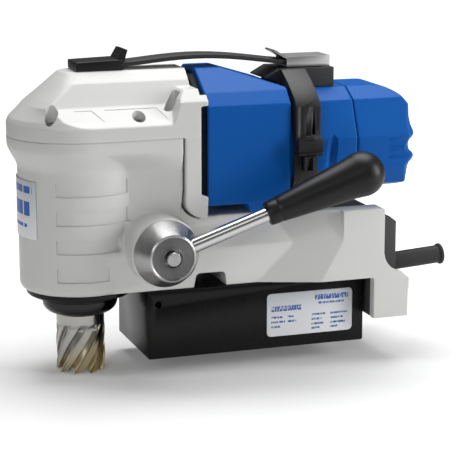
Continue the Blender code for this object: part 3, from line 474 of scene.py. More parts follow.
def headPlan(radius, halfWidth, rear, count=120):
    start = math.degrees(math.asin(min(1.0, halfWidth / radius)))
    front = arcPoints((spindleX, 0.0), radius, start, 360 - start, count)
    return [(rear, halfWidth)] + front + [(rear, -halfWidth)]


def toMesh(name, shape):
    bmesh.ops.recalc_face_normals(shape, faces=shape.faces)
    if shape.calc_volume(signed=True) < 0:
        bmesh.ops.reverse_faces(shape, faces=shape.faces)
    mesh = bpy.data.meshes.new(name)
    shape.to_mesh(mesh)
    shape.free()
    return mesh


def newObject(name, mesh):
    made = bpy.data.objects.new(name, mesh)
    scene.collection.objects.link(made)
    return made


def applyModifiers(made):
    depsgraph = bpy.context.evaluated_depsgraph_get()
    mesh = bpy.data.meshes.new_from_object(made.evaluated_get(depsgraph))
    old = made.data
    made.modifiers.clear()
    made.data = mesh
    bpy.data.meshes.remove(old)


def carve(made, shapes, operation="DIFFERENCE", solver="MANIFOLD"):
    tools = []
    for shape in shapes:
        tool = newObject("tool", toMesh("tool", shape))
        modifier = made.modifiers.new("carve", "BOOLEAN")
        modifier.operation = operation
        modifier.solver = solver
        modifier.object = tool
        tools.append(tool)
    applyModifiers(made)
    for tool in tools:
        bpy.data.objects.remove(tool)


def cast(name, shapes, voxel, rounds, ratio=1.0):
    # overlapping solids become one cast body with soft edges and small fillets
    whole = bmesh.new()
    for shape in shapes:
        mesh = toMesh("part", shape)
        whole.from_mesh(mesh)
        bpy.data.meshes.remove(mesh)
    mesh = bpy.data.meshes.new(name)
    whole.to_mesh(mesh)
    whole.free()
    made = newObject(name, mesh)
    remesh = made.modifiers.new("remesh", "REMESH")
    remesh.mode = "VOXEL"
    remesh.voxel_size = voxel
    soften = made.modifiers.new("soften", "SMOOTH")
    soften.factor = 0.5
    soften.iterations = rounds
    if ratio < 1.0:
        thin = made.modifiers.new("thin", "DECIMATE")
        thin.ratio = ratio
    applyModifiers(made)
    return made


def softened(name, node, width=0.0008, segments=3, limit=28.0):
    # a CAD node's own shape with its edges broken
    shape = bmesh.new()
    shape.from_mesh(nodes[node].data)
    bmesh.ops.remove_doubles(shape, verts=shape.verts, dist=1e-6)
    bmesh.ops.dissolve_limit(shape, angle_limit=math.radians(0.5), verts=shape.verts, edges=shape.edges)
    sharp = [edge for edge in shape.edges
             if edge.is_manifold and edge.calc_face_angle(0.0) > math.radians(limit)]
    bmesh.ops.bevel(shape, geom=sharp, offset=width, segments=segments, profile=0.5, affect="EDGES",
                    clamp_overlap=True)
    return newObject(name, toMesh(name, shape))


def dress(made, node, material=None, also=(), angle=40.0):
    # shading, finish, body, slot and the CAD nodes that the piece stands for
    made.data.materials.clear()
    made.data.materials.append(material or finishes[slotOf[node]])
    for polygon in made.data.polygons:
        polygon.material_index = 0
    made.data.shade_smooth()
    made.data.set_sharp_from_angle(angle=math.radians(angle))
    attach(made, bodyOf[node])
    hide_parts(node, *also)
    return made


def turned(name, node, profile, origin, direction, material=None, steps=96, hollow=False, angle=40.0):
    shape = turnedShape(profile, origin, direction, steps, hollow)
    return dress(newObject(name, toMesh(name, shape)), node, material, angle=angle)


# Camera, light, floor

def makeStage():
    look = {"lens": 136.13, "at": (-0.4129, -1.1810, 0.3594), "yaw": 18.935, "pitch": 12.565}
    data = bpy.data.cameras.new("camera")
    data.lens = look["lens"]
    data.sensor_width = 36.0
    data.clip_start = 0.05
    camera = bpy.data.objects.new("camera", data)
    camera.location = look["at"]
    camera.rotation_euler = (math.radians(90 - look["pitch"]), 0.0, -math.radians(look["yaw"]))
    scene.collection.objects.link(camera)
    scene.camera = camera

    floorZ = cadBox[0][2] - 0.0002
    shape = bmesh.new()
    bmesh.ops.create_grid(shape, x_segments=2, y_segments=2, size=6.0)
    floor = newObject("floor", toMesh("floor", shape))
    floor.location.z = floorZ
    material, maker, shader = newMaterial("floor_white", (0.80, 0.80, 0.80), 0.9)
    shader.inputs["Specular IOR Level"].default_value = 0.0
    shader.inputs["Emission Strength"].default_value = 0.92
    # the floor glows only for the camera, and less under the part, so contact shadows stay
    x, y = axes(maker)[:2]
    reach = ((x * x + y * y).root() * 1.1 - 0.12).kept()
    seen = maker.add("ShaderNodeLightPath")
    glow = seen * (reach * 0.88 + 0.12)
    maker.feed(shader.inputs["Emission Color"], blendColour(maker, glow, (0.0, 0.0, 0.0), (1.0, 1.0, 1.0)))
    floor.data.materials.append(material)

    world = bpy.data.worlds.new("studio")
    world.use_nodes = True
    world.node_tree.nodes["Background"].inputs["Color"].default_value = (1.0, 1.0, 1.0, 1.0)
    background = world.node_tree.nodes["Background"].inputs["Strength"]
    maker = TreeMaker(world.node_tree)
    maker.feed(background, maker.add("ShaderNodeLightPath") * 0.88 + 0.12)
    scene.world = world
    scene.view_settings.view_transform = "Standard"

    lights = (
        ("overhead", (0.10, 0.20, 1.10), (1.0, 0.8), 14.0),
        ("right", (1.05, -0.62, 0.45), (0.30, 0.7), 9.5),
        ("left", (-0.85, -1.00, 0.50), (0.30, 0.5), 3.0),
        ("front", (-0.30, -1.30, 0.95), (0.4, 0.4), 0.8),
    )
    for name, at, size, power in lights:
        light = bpy.data.lights.new(name, "AREA")
        light.shape = "RECTANGLE"
        light.size, light.size_y = size
        light.energy = power
        lamp = bpy.data.objects.new(name, light)
        lamp.location = at
        lamp.rotation_euler = (Vector((0.0, 0.0, 0.09)) - Vector(at)).to_track_quat("-Z", "Y").to_euler()
        scene.collection.objects.link(lamp)
    print("camera, floor and lights placed")


# Housing

housing = {
    "columnRadius": 0.0425, "headRadius": 0.0495, "webDeep": 0.0312, "webRim": 0.0478, "webRear": -0.0585,
    "low": 0.050, "parting": 0.160, "armHalf": 0.042, "armTop": 0.101, "crownHalf": 0.035,
    "rearHalf": 0.054, "legInner": 0.0465, "bossRadius": 0.0245,
    "flareLow": 0.1365, "flareHigh": 0.1545,
    "ribTop": 0.131, "ribPitch": 0.0202, "ribHeight": 0.0100, "ribDepth": 0.0011, "ribStart": 35.0,
    "ribSweeps": (76.0, 76.0, 63.0, 51.0),
}


def webHalf(x, z):
    # the web is dished: deep beside the column, flush with the flange, flared into the head
    h = housing
    across = smooth(x, -0.099, -0.050) ** 0.85
    rim = h["crownHalf"] + 0.006 + (h["webRim"] - h["crownHalf"] - 0.006) * smooth(z, 0.098, 0.124)
    half = h["webDeep"] + (rim - h["webDeep"]) * across
    flare = smooth(z, 0.134, 0.1535)
    return half + (h["headRadius"] - 0.0002 - half) * flare


def webShape():
    h = housing
    columns, rows = 40, 60
    rings = []
    for j in range(rows + 1):
        z = 0.075 + (h["parting"] - 0.075) * j / rows
        near = []
        for i in range(columns + 1):
            x = -0.118 + (h["webRear"] + 0.118) * i / columns
            near.append((x, -webHalf(x, z), z))
        rings.append(near + [(x, -y, z) for x, y, z in reversed(near)])
    return loftShape(rings)


def columnShape():
    h = housing
    radius, neck, shoulder = h["columnRadius"], h["flareLow"], h["flareHigh"]
    profile = [(0.0, 0.050), (0.0400, 0.050), (0.0414, 0.0512), (0.0423, 0.0530), (radius, 0.0545),
               (radius, neck)]
    for i in range(1, 13):
        z = neck + (shoulder - neck) * i / 12
        profile.append((radius + (h["headRadius"] - radius) * smooth(z, neck, shoulder), z))
    profile += [(h["headRadius"], h["parting"]), (0.0, h["parting"])]
    profile.reverse()
    return turnedShape(profile, (spindleX, 0.0, 0.0), steps=200)


def ribCutters():
    h = housing
    cutters = []
    for i, sweep in enumerate(h["ribSweeps"]):
        top = h["ribTop"] - i * h["ribPitch"]
        low = top - h["ribHeight"]
        for side in (-1, 1):
            start = math.radians(-90 - h["ribStart"])
            points = []
            for radius, order in ((h["columnRadius"] + 0.003, 1), (h["columnRadius"] - h["ribDepth"], -1)):
                angles = [start + math.radians(sweep) * n / 44 for n in range(45)][::order]
                points += [(spindleX + radius * math.cos(a), side * radius * math.sin(a)) for a in angles]
            cutters.append(prismShape(points, "Z", low, top))
    return cutters


def makeHousing():
    h = housing
    feedAxis = ((feedAt.x, 0.0, feedAt.z), (0.0, -1.0, 0.0))
    armRear = 0.040
    facets = rise((-h["armHalf"], 0.079), (-h["crownHalf"], 0.094)) + rise((-0.0385, 0.050), (-0.0420, 0.076))
    arm = cubeShape((-0.1180, -h["armHalf"], h["low"]), (armRear, h["armHalf"], h["armTop"]), facets)
    crown = cubeShape((-0.1000, -h["crownHalf"], 0.080), (armRear, h["crownHalf"], h["armTop"]))
    flare = Vector((1.0, 2.833, -0.586)).normalized()
    rear = cubeShape((-0.005, -h["rearHalf"], h["low"]), (0.0927, h["rearHalf"], h["armTop"]),
                     bothSides((0.009, -h["armHalf"], h["low"]), tuple(-flare)))
    bend = arcPoints((-0.0430, 0.1160), 0.0155, -90, -180)
    fillet = prismShape([(-0.0600, 0.0990), (-0.0430, 0.0990)] + bend + [(-0.0600, 0.1160)], "Y",
                        -0.0405, 0.0405)
    outline = ([(0.060, h["low"]), (0.0845, h["low"]), (0.0845, 0.0193), (0.112, 0.0193), (0.1127, 0.048),
                (0.107, 0.053)] + arcPoints((0.1085, 0.0690), 0.0158, -95, -176)
               + arcPoints((0.0867, 0.0953), 0.006, 0, 90) + [(0.060, 0.1013)])
    legs = [prismShape(outline, "Y", low, low + h["rearHalf"] - h["legInner"])
            for low in (-h["rearHalf"], h["legInner"])]
    skirt = [(0.0245, 0.0590)] + [(0.0245 + 0.0065 * (1 - math.cos(a)), 0.0380 - 0.0085 * math.sin(a))
                                  for a in [math.radians(15 * i) for i in range(7)]]
    boss = turnedShape([(0.0, 0.0590)] + skirt + [(0.0310, 0.020), (0.0, 0.020)], *feedAxis)
    made = cast("housing_casting", [columnShape(), webShape(), arm, crown, rear, fillet, boss, *legs],
                0.00075, 5, 0.55)

    centre = (spindleX, 0.0, 0.0)
    bore = turnedShape([(0.0, 0.170), (0.040, 0.170), (0.040, 0.152), (0.0194, 0.152), (0.0194, 0.1390),
                        (0.0135, 0.1390), (0.0135, 0.1350), (0.0277, 0.1350), (0.0277, 0.040), (0.0, 0.040)],
                       centre)
    rooms = [cubeShape((spindleX, -0.030, 0.152), (-0.050, 0.030, 0.170)),
             rodShape(0.0230, -0.0076, 0.0076, *feedAxis), rodShape(0.0086, -0.031, 0.040, *feedAxis),
             rodShape(0.0111, 0.0300, 0.070, *feedAxis),
             cubeShape((0.024, -0.0365, 0.040), (0.100, 0.0365, 0.110)),
             prismShape([(-0.0490, 0.045), (-0.0226, 0.045)] + arcPoints((-0.0278, 0.0575), 0.0032, 0, 90)
                        + arcPoints((-0.0438, 0.0575), 0.0032, 90, 180), "Y", -0.070, 0.070)]
    carve(made, [bore, *rooms])
    carve(made, ribCutters())
    dress(made, "main_housing")
    print("housing casting:", len(made.data.polygons), "faces")


ledge = {
    # inner edge of the ledge and its run downward; fields as (left, right, skew of the lower edge)
    "corner": (0.0, -0.0340, 0.1812), "run": (0.0, -0.0165, -0.0130),
    "fields": ((-0.1325, -0.1202, 0.0075), (-0.1110, -0.0740, 0.0062)),
    "slot": [(-0.0690, 0.1788), (-0.0655, 0.1762), (-0.0600, 0.1770), (-0.0545, 0.1865), (-0.0580, 0.1918)],
    "slotDepth": (0.0270, 0.0385),
}


def ledgeMarks():
    # shallow slanted fields on the ledge, and the slot where the flange meets the head
    drop = Vector(ledge["run"]).normalized()
    out = Vector((0.0, drop.z, -drop.y))
    corner = Vector(ledge["corner"])
    marks = []
    for side in (-1, 1):
        for left, right, skew in ledge["fields"]:
            rings = []
            for level in (-0.00035, 0.0030):
                ring = []
                edge = ((left, 0.0015), (right, 0.0015), (right + skew, 0.0125), (left + skew, 0.0125))
                for x, reach in edge:
                    point = corner + drop * reach + out * level
                    ring.append((x, -side * point.y, point.z))
                rings.append(ring)
            marks.append(loftShape(rings))
        reach = sorted(side * depth for depth in ledge["slotDepth"])
        marks.append(prismShape(ledge["slot"], "Y", *reach))
    return marks


gearHead = {
    # height, half width, x of the tip and x where the curved front meets the flank
    "levels": [(0.1599, 0.0495, -0.1715, -0.1220), (0.1690, 0.0495, -0.1715, -0.1220),
               (0.1702, 0.0484, -0.1711, -0.1290), (0.1730, 0.0442, -0.1697, -0.1400),
               (0.1820, 0.0330, -0.1599, -0.1495), (0.1860, 0.0300, -0.1554, -0.1450),
               (0.1970, 0.0220, -0.1430, -0.1290), (0.2040, 0.0135, -0.1351, -0.1230)],
    "rear": -0.0462, "flangeHalf": 0.0490,
    "flangeLow": [(-0.0660, 0.1680), (-0.0650, 0.1640), (-0.0569, 0.1640), (-0.0569, 0.1162)],
    "flangeHigh": [(-0.0400, 0.1020), (-0.0400, 0.117), (-0.0453, 0.119), (-0.0453, 0.1812),
                   (-0.0402, 0.1816), (-0.0402, 0.1912), (-0.0440, 0.1925), (-0.0560, 0.1925),
                   (-0.0600, 0.1867)],
    "screwHole": [(0.0, 0.2), (0.0047, 0.2), (0.0047, 0.1695), (0.0026, 0.1695), (0.0026, 0.15), (0.0, 0.15)],
}


def makeGearHead():
    g = gearHead
    rings = []
    for z, half, tip, corner in g["levels"]:
        bulge = corner - tip
        radius = (half * half + bulge * bulge) / (2 * bulge)
        start = math.degrees(math.atan2(half, corner - (tip + radius)))
        front = arcPoints((tip + radius, 0.0), radius, start, 360 - start, 120)
        rings.append([(x, y, z) for x, y in [(g["rear"], half)] + front + [(g["rear"], -half)]])
    outline = g["flangeLow"] + arcPoints((-0.0429, 0.1160), 0.0140, 180, 270) + g["flangeHigh"]
    flange = prismShape(outline, "Y", -g["flangeHalf"], g["flangeHalf"])
    for point, normal in rise((-0.0462, 0.102), (-0.0495, 0.124)) + rise((-0.0495, 0.184), (-0.0420, 0.1910)):
        sliceOff(flange, point, normal)
    made = cast("head_casting", [loftShape(rings), flange], 0.0006, 4, 0.6)
    gears = prismShape(headPlan(0.040, 0.040, -0.060), "Z", 0.150, 0.172)
    rooms = [gears, cubeShape((-0.138, -0.018, 0.165), (-0.030, 0.018, 0.1880)),
             cubeShape((-0.0600, -0.021, 0.1400), (-0.030, 0.021, 0.1800)),
             rodShape(0.0200, -0.0570, -0.0300, (0.0, 0.0, 0.1720), (1.0, 0.0, 0.0)),
             cubeShape((-0.0452, -0.0444, 0.1175), (-0.030, 0.0444, 0.2050))]
    for name in ("front_near", "front_far", "rear_near", "rear_far"):
        low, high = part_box("cover_screw_" + name)
        at = ((low.x + high.x) / 2, (low.y + high.y) / 2, 0.0)
        rooms.append(turnedShape(g["screwHole"], at, steps=48))
    carve(made, rooms)
    carve(made, ledgeMarks())
    dress(made, "gear_head")
    print("head casting:", len(made.data.polygons), "faces")


makeStage()
makeHousing()
makeGearHead()


# Motor

def motorSection():
    side = [(0.018, 0.1865), (0.032, 0.1785), (0.0432, 0.1520), (0.0430, 0.1290), (0.036, 0.1165),
            (0.020, 0.1120)]
    return side + [(-y, z) for y, z in reversed(side)]


capLook = {
    # depth of the rear face against height, bottom to top, and the grip fields on the flanks
    "profile": [(0.1050, 0.1060), (0.1118, 0.1125), (0.1128, 0.1158), (0.1160, 0.1186), (0.1270, 0.1202),
                (0.1305, 0.1214), (0.1332, 0.1242), (0.1350, 0.1250), (0.1368, 0.1243), (0.1392, 0.1214),
                (0.1432, 0.1204), (0.1472, 0.1214), (0.1498, 0.1243), (0.1518, 0.1250), (0.1538, 0.1243),
                (0.1580, 0.1222), (0.1640, 0.1206), (0.1735, 0.1200)],
    "topCentre": (0.0935, 0.1550), "topRadius": 0.0320, "flat": 0.0270, "corner": 0.0100,
    "gripX": 0.0995, "gripLevels": (0.1468, 0.1389),
}


def capRear(front):
    c = capLook
    profile = list(c["profile"])
    for i in range(13):
        z = 0.1750 + (c["topCentre"][1] + c["topRadius"] - 0.1750) * i / 12
        reach = math.sqrt(max(c["topRadius"] ** 2 - (z - c["topCentre"][1]) ** 2, 0.0))
        profile.append((z, c["topCentre"][0] + reach))
    rings = []
    for z, depth in profile:
        ring = [(front, -0.060, z)]
        for i in range(61):
            y = -0.060 + 0.120 * i / 60
            over = max(abs(y) - c["flat"], 0.0) / (0.0440 - c["flat"])
            ring.append((max(depth - c["corner"] * over ** 1.7, front + 0.004), y, z))
        rings.append(ring + [(front, 0.060, z)])
    return loftShape(rings)


def makeMotor():
    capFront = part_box("rear_cap")[0].x
    slope = ((-0.0203, 0.0, 0.2036), (0.0176, 0.0, 0.0553))
    facets = [slope] + rise((-0.038, 0.189), (-0.014, 0.204)) + rise((-0.0465, 0.180), (-0.038, 0.189))
    front = cubeShape((-0.0395, -0.0465, 0.1100), (0.022, 0.0465, 0.2036), facets)
    block = cubeShape((-0.0150, -0.0440, 0.1030), (0.0200, 0.0440, 0.1170),
                      [((-0.0110, 0.0, 0.1167), (-0.9, 0.0, -0.3))])
    made = cast("motor_shell", [front, prismShape(motorSection(), "X", 0.010, capFront - 0.0005), block],
                0.0006, 11, 0.6)
    axis = ((0.0, 0.0, motorAt.z), (1.0, 0.0, 0.0))
    pockets = [ballShape((0.0545, side * 0.0462, 0.1400), (0.0052, 0.0058, 0.0240), (0.0, side * -0.10, 0.0))
               for side in (-1, 1)]
    carve(made, [rodShape(0.0335, -0.060, 0.100, *axis)] + pockets)
    dress(made, "motor_housing")

    blank = newObject("cap_blank", toMesh("cap_blank", prismShape(motorSection(), "X", capFront, 0.1300)))
    carve(blank, [capRear(capFront - 0.003)], "INTERSECT", "EXACT")
    shape = bmesh.new()
    shape.from_mesh(blank.data)
    bpy.data.objects.remove(blank)
    cap = cast("motor_cap", [shape], 0.0006, 10, 0.6)
    c = capLook
    scoops = [rodShape(0.0043, c["gripX"], 0.1300, (0.0, side * 0.0454, level), (1.0, 0.0, 0.0), 40)
              for side in (-1, 1) for level in c["gripLevels"]]
    carve(cap, scoops)
    hollow = [(0.0, 0.1000), (0.0099, 0.1000), (0.0099, 0.0920), (0.0300, 0.0920), (0.0300, 0.060),
              (0.0, 0.060)]
    carve(cap, [turnedShape(hollow, *axis)])
    dress(cap, "rear_cap")
    print("motor shell and cap:", len(made.data.polygons), len(cap.data.polygons), "faces")


# Feed lever

lever = {
    # lift and lean of the bar in degrees; every profile lists (radius, distance along its axis)
    "lift": 20.6, "lean": 5.5, "rootY": -0.0665,
    "hub": [(0.0150, 0.0760), (0.0157, 0.0763), (0.0166, 0.0757), (0.0232, 0.0614), (0.0236, 0.0606),
            (0.0235, 0.0593), (0.0083, 0.0593), (0.0083, 0.0703), (0.0060, 0.0703), (0.0060, 0.0738),
            (0.0150, 0.0738)],
    "face": [(0.0063, 0.0745), (0.0063, 0.0761), (0.0068, 0.0764), (0.0074, 0.0761), (0.0080, 0.0757),
             (0.0144, 0.0757), (0.0147, 0.0759), (0.0149, 0.0757), (0.0149, 0.0745)],
    "bar": [(0.0, 0.0880), (0.0053, 0.0880), (0.0053, 0.0128), (0.0, 0.0128)],
    "ball": (0.1470, 0.0160),
    "grip": [(0.01425, 0.1360), (0.01300, 0.1230), (0.01185, 0.1105), (0.01055, 0.0975), (0.00930, 0.0855),
             (0.00905, 0.0830), (0.00880, 0.0826), (0.00880, 0.0818), (0.00895, 0.0814), (0.00860, 0.0765),
             (0.00830, 0.0745), (0.00770, 0.0740), (0.0056, 0.0740), (0.0056, 0.0882), (0.0, 0.0882)],
    "shaft": [(0.0, 0.0790), (0.0044, 0.0790), (0.0050, 0.0784), (0.0050, 0.0700), (0.0080, 0.0700),
              (0.0080, -0.0300), (0.0, -0.0300)],
}


def makeLever():
    v = lever
    axis = ((feedAt.x, 0.0, feedAt.z), (0.0, -1.0, 0.0))
    lift, lean = math.radians(v["lift"]), math.radians(v["lean"])
    root = (feedAt.x, v["rootY"], feedAt.z)
    along = (math.cos(lift) * math.cos(lean), -math.sin(lean), math.sin(lift) * math.cos(lean))

    made = newObject("hub_cone", toMesh("hub_cone", turnedShape(v["hub"], *axis, steps=128, hollow=True)))
    carve(made, [rodShape(0.0057, 0.0125, 0.040, root, along)], solver="EXACT")
    dress(made, "feed_hub", finishes["lever_steel"], angle=30)
    turned("hub_face", "hub_disc", v["face"], *axis, finishes["disc_steel"], 128, True, 30)
    turned("lever_bar", "lever_rod", v["bar"], root, along, finishes["rod_steel"])
    ball = arcPoints((0.0, v["ball"][0]), v["ball"][1], 90, -14, 24)
    turned("lever_handle", "lever_grip", ball + v["grip"], root, along, angle=50)
    turned("lever_shaft", "feed_shaft", v["shaft"], *axis, finishes["lever_steel"])
    print("feed lever done")


# Spindle and cutter

spindle = {
    # the nose's profile above and below its round bowl, and the four openings in it
    "noseTop": [(0.0, 0.0965), (0.0120, 0.0965), (0.0120, 0.0470), (0.0262, 0.0456), (0.0268, 0.0453),
                (0.0270, 0.0446), (0.0270, 0.0424), (0.0267, 0.0421), (0.0267, 0.0416), (0.0270, 0.0413)],
    "bowlCentre": 0.0185, "bowlRadius": 0.0085,
    "socket": (0.0098, 0.020, 0.0620), "pinHole": (0.0053, 0.060, 0.0925),
    "screwHole": (0.0040, 0.0085, 0.040), "spline": (0.0062, 0.0950, 0.1520),
}


def makeSpindle():
    p = spindle
    centre = (spindleX, 0.0, 0.0)
    up = (0.0, 0.0, 1.0)
    low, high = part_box("base_ring")
    outer = (high.x - low.x) / 2
    ring = [(outer - 0.0006, high.z), (outer, high.z - 0.0006), (outer, low.z + 0.0012),
            (outer - 0.0011, low.z), (0.0282, low.z), (0.0282, high.z)]
    turned("column_ring", "base_ring", ring, centre, up, hollow=True)

    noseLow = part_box("arbor")[0].z
    bowl = arcPoints((p["bowlCentre"], noseLow + p["bowlRadius"]), p["bowlRadius"], 0, -84, 14)
    nose = p["noseTop"] + bowl + [(0.0186, noseLow), (0.0, noseLow)]
    made = newObject("arbor_nose", toMesh("arbor_nose", turnedShape(nose, centre)))
    carve(made, [rodShape(*p["spline"], centre, steps=24)], "UNION", "EXACT")
    cutters = [rodShape(*p["socket"], centre), rodShape(*p["pinHole"], centre)]
    cutters += [rodShape(*p["screwHole"], (spindleX, 0.0, 0.0378), way, steps=32)
                for way in ((1.0, 0.0, 0.0), (0.0, 1.0, 0.0))]
    carve(made, cutters, solver="EXACT")
    dress(made, "arbor", finishes["nose_black"], angle=35)


cutter = {"radius": 0.0175, "teeth": 9, "tip": -0.0128, "top": 0.0240, "twist": 1.35, "levels": 44,
          "collar": 0.0172, "shank": 0.0095, "bore": 0.0132,
          # one tooth, as (share of the pitch, drop): a narrow margin, a relieved land, then the flute
          "tooth": ((0.00, 0.0000), (0.06, 0.0000), (0.08, 0.0004), (0.50, 0.0004), (0.53, 0.0008),
                    (0.58, 0.0024), (0.66, 0.0029), (0.80, 0.0024), (0.93, 0.0018), (0.985, 0.0016)),
          "outerTip": (0.0046, 0.0016), "innerTip": (0.0036, 0.0026)}


def tipLift(phase, share, gulletDepth, rakeDepth):
    # the tip's edge: raked across the land, arched over the flute, fading upward
    gullet = gulletDepth * math.sin(math.pi * min(max((phase - 0.50) / 0.50, 0.0), 1.0)) ** 0.7
    rake = rakeDepth * min(phase / 0.50, 1.0) if phase <= 0.5 else 0.0
    return (gullet + rake) * (1 - share) ** 6


def makeCutter():
    c = cutter
    height = c["top"] - c["tip"]
    teeth = [(tooth, phase, drop) for tooth in range(c["teeth"]) for phase, drop in c["tooth"]]
    rings = []
    for step in range(c["levels"] + 1):
        share = step / c["levels"]
        fade = 1.0 - smooth(share, 0.84, 0.985)
        ring = []
        for tooth, phase, drop in teeth:
            angle = 2 * math.pi * (tooth + phase) / c["teeth"] + share * c["twist"]
            radius = c["radius"] - drop * fade - 0.0003 * (1 - fade)
            z = c["tip"] + share * height + tipLift(phase, share, *c["outerTip"])
            ring.append((spindleX + radius * math.cos(angle), radius * math.sin(angle), z))
        rings.append(ring)
    inner = []
    for share in (0.82, 0.4, 0.0):
        ring = []
        for tooth, phase, drop in teeth:
            angle = 2 * math.pi * (tooth + phase) / c["teeth"]
            z = c["tip"] + 0.0008 + share * height + tipLift(phase, share, *c["innerTip"])
            ring.append((spindleX + c["bore"] * math.cos(angle), c["bore"] * math.sin(angle), z))
        inner.append(ring)
    shape = bmesh.new()
    loops = [[shape.verts.new(point) for point in ring] for ring in inner + rings]
    for lower, upper in zip(loops, loops[1:]):
        for i, vert in enumerate(lower):
            j = (i + 1) % len(lower)
            shape.faces.new((vert, lower[j], upper[j], upper[i]))
    shape.faces.new(loops[0])
    shape.faces.new(loops[-1])
    made = newObject("cutter_body", toMesh("cutter_body", shape))
    centre = (spindleX, 0.0, 0.0)
    slim, wide = c["shank"], c["collar"]
    shank = turnedShape([(0.0, 0.0580), (slim - 0.0008, 0.0580), (slim, 0.0572), (slim, 0.0304),
                         (wide - 0.0006, 0.0304), (wide, 0.0298), (wide, 0.0236), (0.0, 0.0236)], centre)
    carve(made, [shank], "UNION", "EXACT")
    carve(made, [rodShape(0.0034, 0.010, 0.070, centre, steps=32)], solver="EXACT")
    dress(made, "annular_cutter", angle=32)
    print("cutter:", len(made.data.polygons), "faces")


# Cover screws: one tree sets a socket head on every point

screws = {"headRadius": 0.00425, "headHeight": 0.0030, "keyRadius": 0.0023, "keyDepth": 0.0020,
          "shankRadius": 0.0021, "shankLength": 0.0173}


def screwTree():
    tree = bpy.data.node_groups.new("cover_screw", "GeometryNodeTree")
    maker = TreeMaker(tree)
    tree.interface.new_socket("Geometry", in_out="INPUT", socket_type="NodeSocketGeometry")
    for label in screws:
        tree.interface.new_socket(label, in_out="INPUT", socket_type="NodeSocketFloat")
    tree.interface.new_socket("finish", in_out="INPUT", socket_type="NodeSocketMaterial")
    tree.interface.new_socket("Geometry", in_out="OUTPUT", socket_type="NodeSocketGeometry")
    start = tree.nodes.new("NodeGroupInput")
    given = {socket.name: Link(maker, socket) for socket in start.outputs if socket.name}

    def moved(mesh, z):
        shift = maker.add("ShaderNodeCombineXYZ", {}, {"Z": z})
        return maker.add("GeometryNodeTransform", {}, {"Geometry": mesh, "Translation": shift})

    def drum(radius, top, depth, sides):
        return maker.add("GeometryNodeMeshCone", {"fill_type": "NGON"},
                         {"Vertices": sides, "Radius Top": top, "Radius Bottom": radius, "Depth": depth})

    head = drum(given["headRadius"], given["headRadius"] - 0.0003, given["headHeight"], 48)
    key = drum(given["keyRadius"], given["keyRadius"], given["keyDepth"] * 2.0, 6)
    key = moved(key, given["headHeight"] - given["keyDepth"])
    cut = maker.add("GeometryNodeMeshBoolean", {"operation": "DIFFERENCE"}, {"Mesh 1": head, "Mesh 2": key})
    shank = drum(given["shankRadius"], given["shankRadius"], given["shankLength"], 24)
    shank = moved(shank, 0.0001 - given["shankLength"])
    both = maker.add("GeometryNodeMeshBoolean", {"operation": "UNION"}, {"Mesh 2": cut})
    tree.links.new(shank.socket, both.socket.node.inputs["Mesh 2"])
    placed = maker.add("GeometryNodeInstanceOnPoints", {}, {"Points": given["Geometry"], "Instance": both})
    real = maker.add("GeometryNodeRealizeInstances", {}, {"Geometry": placed})
    dressed = maker.add("GeometryNodeSetMaterial", {}, {"Geometry": real, "Material": given["finish"]})
    end = tree.nodes.new("NodeGroupOutput")
    tree.links.new(dressed.socket, end.inputs["Geometry"])
    return tree


def grown(name, mesh, tree, values):
    made = newObject(name, mesh)
    modifier = made.modifiers.new("grow", "NODES")
    modifier.node_group = tree
    for item in tree.interface.items_tree:
        if item.item_type == "SOCKET" and item.in_out == "INPUT" and item.name in values:
            modifier[item.identifier] = values[item.name]
    applyModifiers(made)
    return made


def makeScrews():
    names = ["cover_screw_" + name for name in ("front_near", "front_far", "rear_near", "rear_far")]
    points = []
    for name in names:
        low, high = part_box(name)
        points.append(((low.x + high.x) / 2, (low.y + high.y) / 2, high.z - screws["headHeight"]))
    mesh = bpy.data.meshes.new("screw_points")
    mesh.from_pydata(points, [], [])
    made = grown("cover_screws", mesh, screwTree(), {**screws, "finish": finishes["screw_dark"]})
    dress(made, names[0], finishes["screw_dark"], names[1:], angle=30)
    print("cover screws:", len(made.data.polygons), "faces")


# Strap, saddle, band

strap = {
    "blockLength": 0.0341, "blockTop": 0.2114, "topSlice": ((0.0, 0.0, 0.2105), (-0.03, 0.0, 1.0)),
    "flap": [(-0.0972, 0.2100), (-0.0945, 0.2108), (-0.0898, 0.2186), (-0.0868, 0.2178), (-0.0893, 0.2095),
             (-0.0920, 0.2088)],
    "flapHalf": 0.0100, "mouth": ((-0.1120, -0.0104, 0.2056), (-0.080, 0.0104, 0.2096)),
}


def makeStrap():
    low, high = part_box("strap_clamp_front")
    point, normal = strap["topSlice"]
    block = cubeShape(low, (low.x + strap["blockLength"], high.y, strap["blockTop"]),
                      [((low.x, point[1], point[2]), normal)])
    bmesh.ops.bevel(block, geom=block.edges[:], offset=0.0007, segments=3, profile=0.5, affect="EDGES")
    clamp = newObject("strap_clamp", toMesh("strap_clamp", block))
    flap = prismShape(strap["flap"], "Y", -strap["flapHalf"], strap["flapHalf"])
    carve(clamp, [flap], "UNION", "EXACT")
    carve(clamp, [cubeShape(*strap["mouth"])], solver="EXACT")
    dress(clamp, "strap_clamp_front", angle=30)
    dress(softened("strap_clip", "strap_clip_rear", 0.0006), "strap_clip_rear")
    dress(softened("strap_band", "carry_strap", 0.0007), "carry_strap", angle=30)


band = {
    "slit": [(0.0379, 0.1790), (0.0362, 0.1575), (0.0392, 0.1575)],
    "groove": [(0.0283, 0.1560), (0.0295, 0.1560), (0.0295, 0.1790), (0.0283, 0.1790)],
    "lip": ((0.0300, -0.0580, 0.1553), (0.0385, -0.0492, 0.1572)),
    "boltRadius": 0.0049, "shankRadius": 0.0029, "headTop": 0.1429,
}


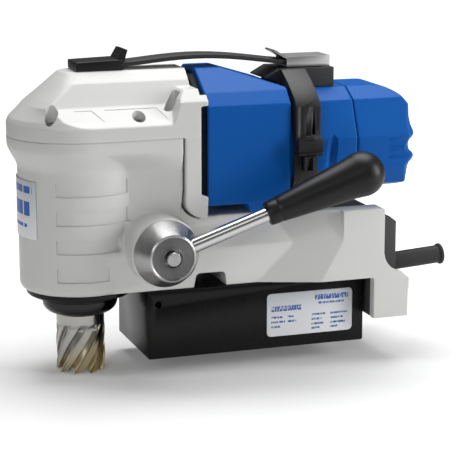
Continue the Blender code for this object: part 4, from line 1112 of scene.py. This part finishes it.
def makeBand():
    saddle = softened("saddle", "strap_saddle", 0.0008)
    slit = prismShape(band["slit"], "Y", -0.0530, -0.0462)
    groove = prismShape(band["groove"], "Y", -0.0530, -0.0494)
    carve(saddle, [slit, groove], solver="EXACT")
    carve(saddle, [cubeShape(*band["lip"])], "UNION", "EXACT")
    dress(saddle, "strap_saddle")
    dress(softened("band", "motor_band", 0.0006), "motor_band")
    low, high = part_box("band_screw")
    centre = ((low.x + high.x) / 2, (low.y + high.y) / 2, 0.0)
    head, shank, headTop = band["boltRadius"], band["shankRadius"], band["headTop"]
    bolt = [(0.0, high.z), (0.0022, high.z), (shank, high.z - 0.0007), (shank, headTop),
            (head - 0.0004, headTop), (head, headTop - 0.0004), (head, low.z + 0.0006),
            (head - 0.0006, low.z), (0.0022, low.z), (0.0022, low.z + 0.004), (0.0, low.z + 0.004)]
    turned("band_bolt", "band_screw", bolt, centre, (0.0, 0.0, 1.0), finishes["nose_black"], 64, angle=30)
    print("strap, saddle and band done")


def makeSmallCasings():
    dress(softened("magnet_block", "magnet_body", 0.0004, 2), "magnet_body")
    dress(softened("box_cover", "rear_cover", 0.0010), "rear_cover")
    dress(softened("plate_black", "motor_plate", 0.0005, 2), "motor_plate", finishes["plate_dark"])


def makeLabels():
    low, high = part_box("front_label")
    inner, outer = 0.0428, 0.0433
    rings = []
    for z in (low.z + 0.0006, high.z - 0.0006):
        points = arcPoints((spindleX, 0.0), outer, 146, 214, 60)
        points += arcPoints((spindleX, 0.0), inner, 214, 146, 60)
        rings.append([(x, y, z) for x, y in points])
    label = newObject("label_sheet", toMesh("label_sheet", loftShape(rings)))
    dress(label, "front_label", columnLabel, angle=50)
    dress(softened("rating_sheet", "nameplate", 0.0002, 2), "nameplate", ratingPlate)


finishes["rod_steel"] = paintFinish("rod_steel", (0.66, 0.66, 0.66), 0.20, 900.0, 0.000002, 0.05)
finishes["rod_steel"].node_tree.nodes["Principled BSDF"].inputs["Metallic"].default_value = 1.0
makeMotor()
makeLever()
makeSpindle()
makeCutter()
makeStrap()
makeBand()
makeSmallCasings()
makeLabels()
makeScrews()

# CAD nodes that stay as they are get their slot's finish
for name, node in nodes.items():
    if node.hide_render:
        continue
    node.data.materials.clear()
    node.data.materials.append(finishes[slotOf[name]])
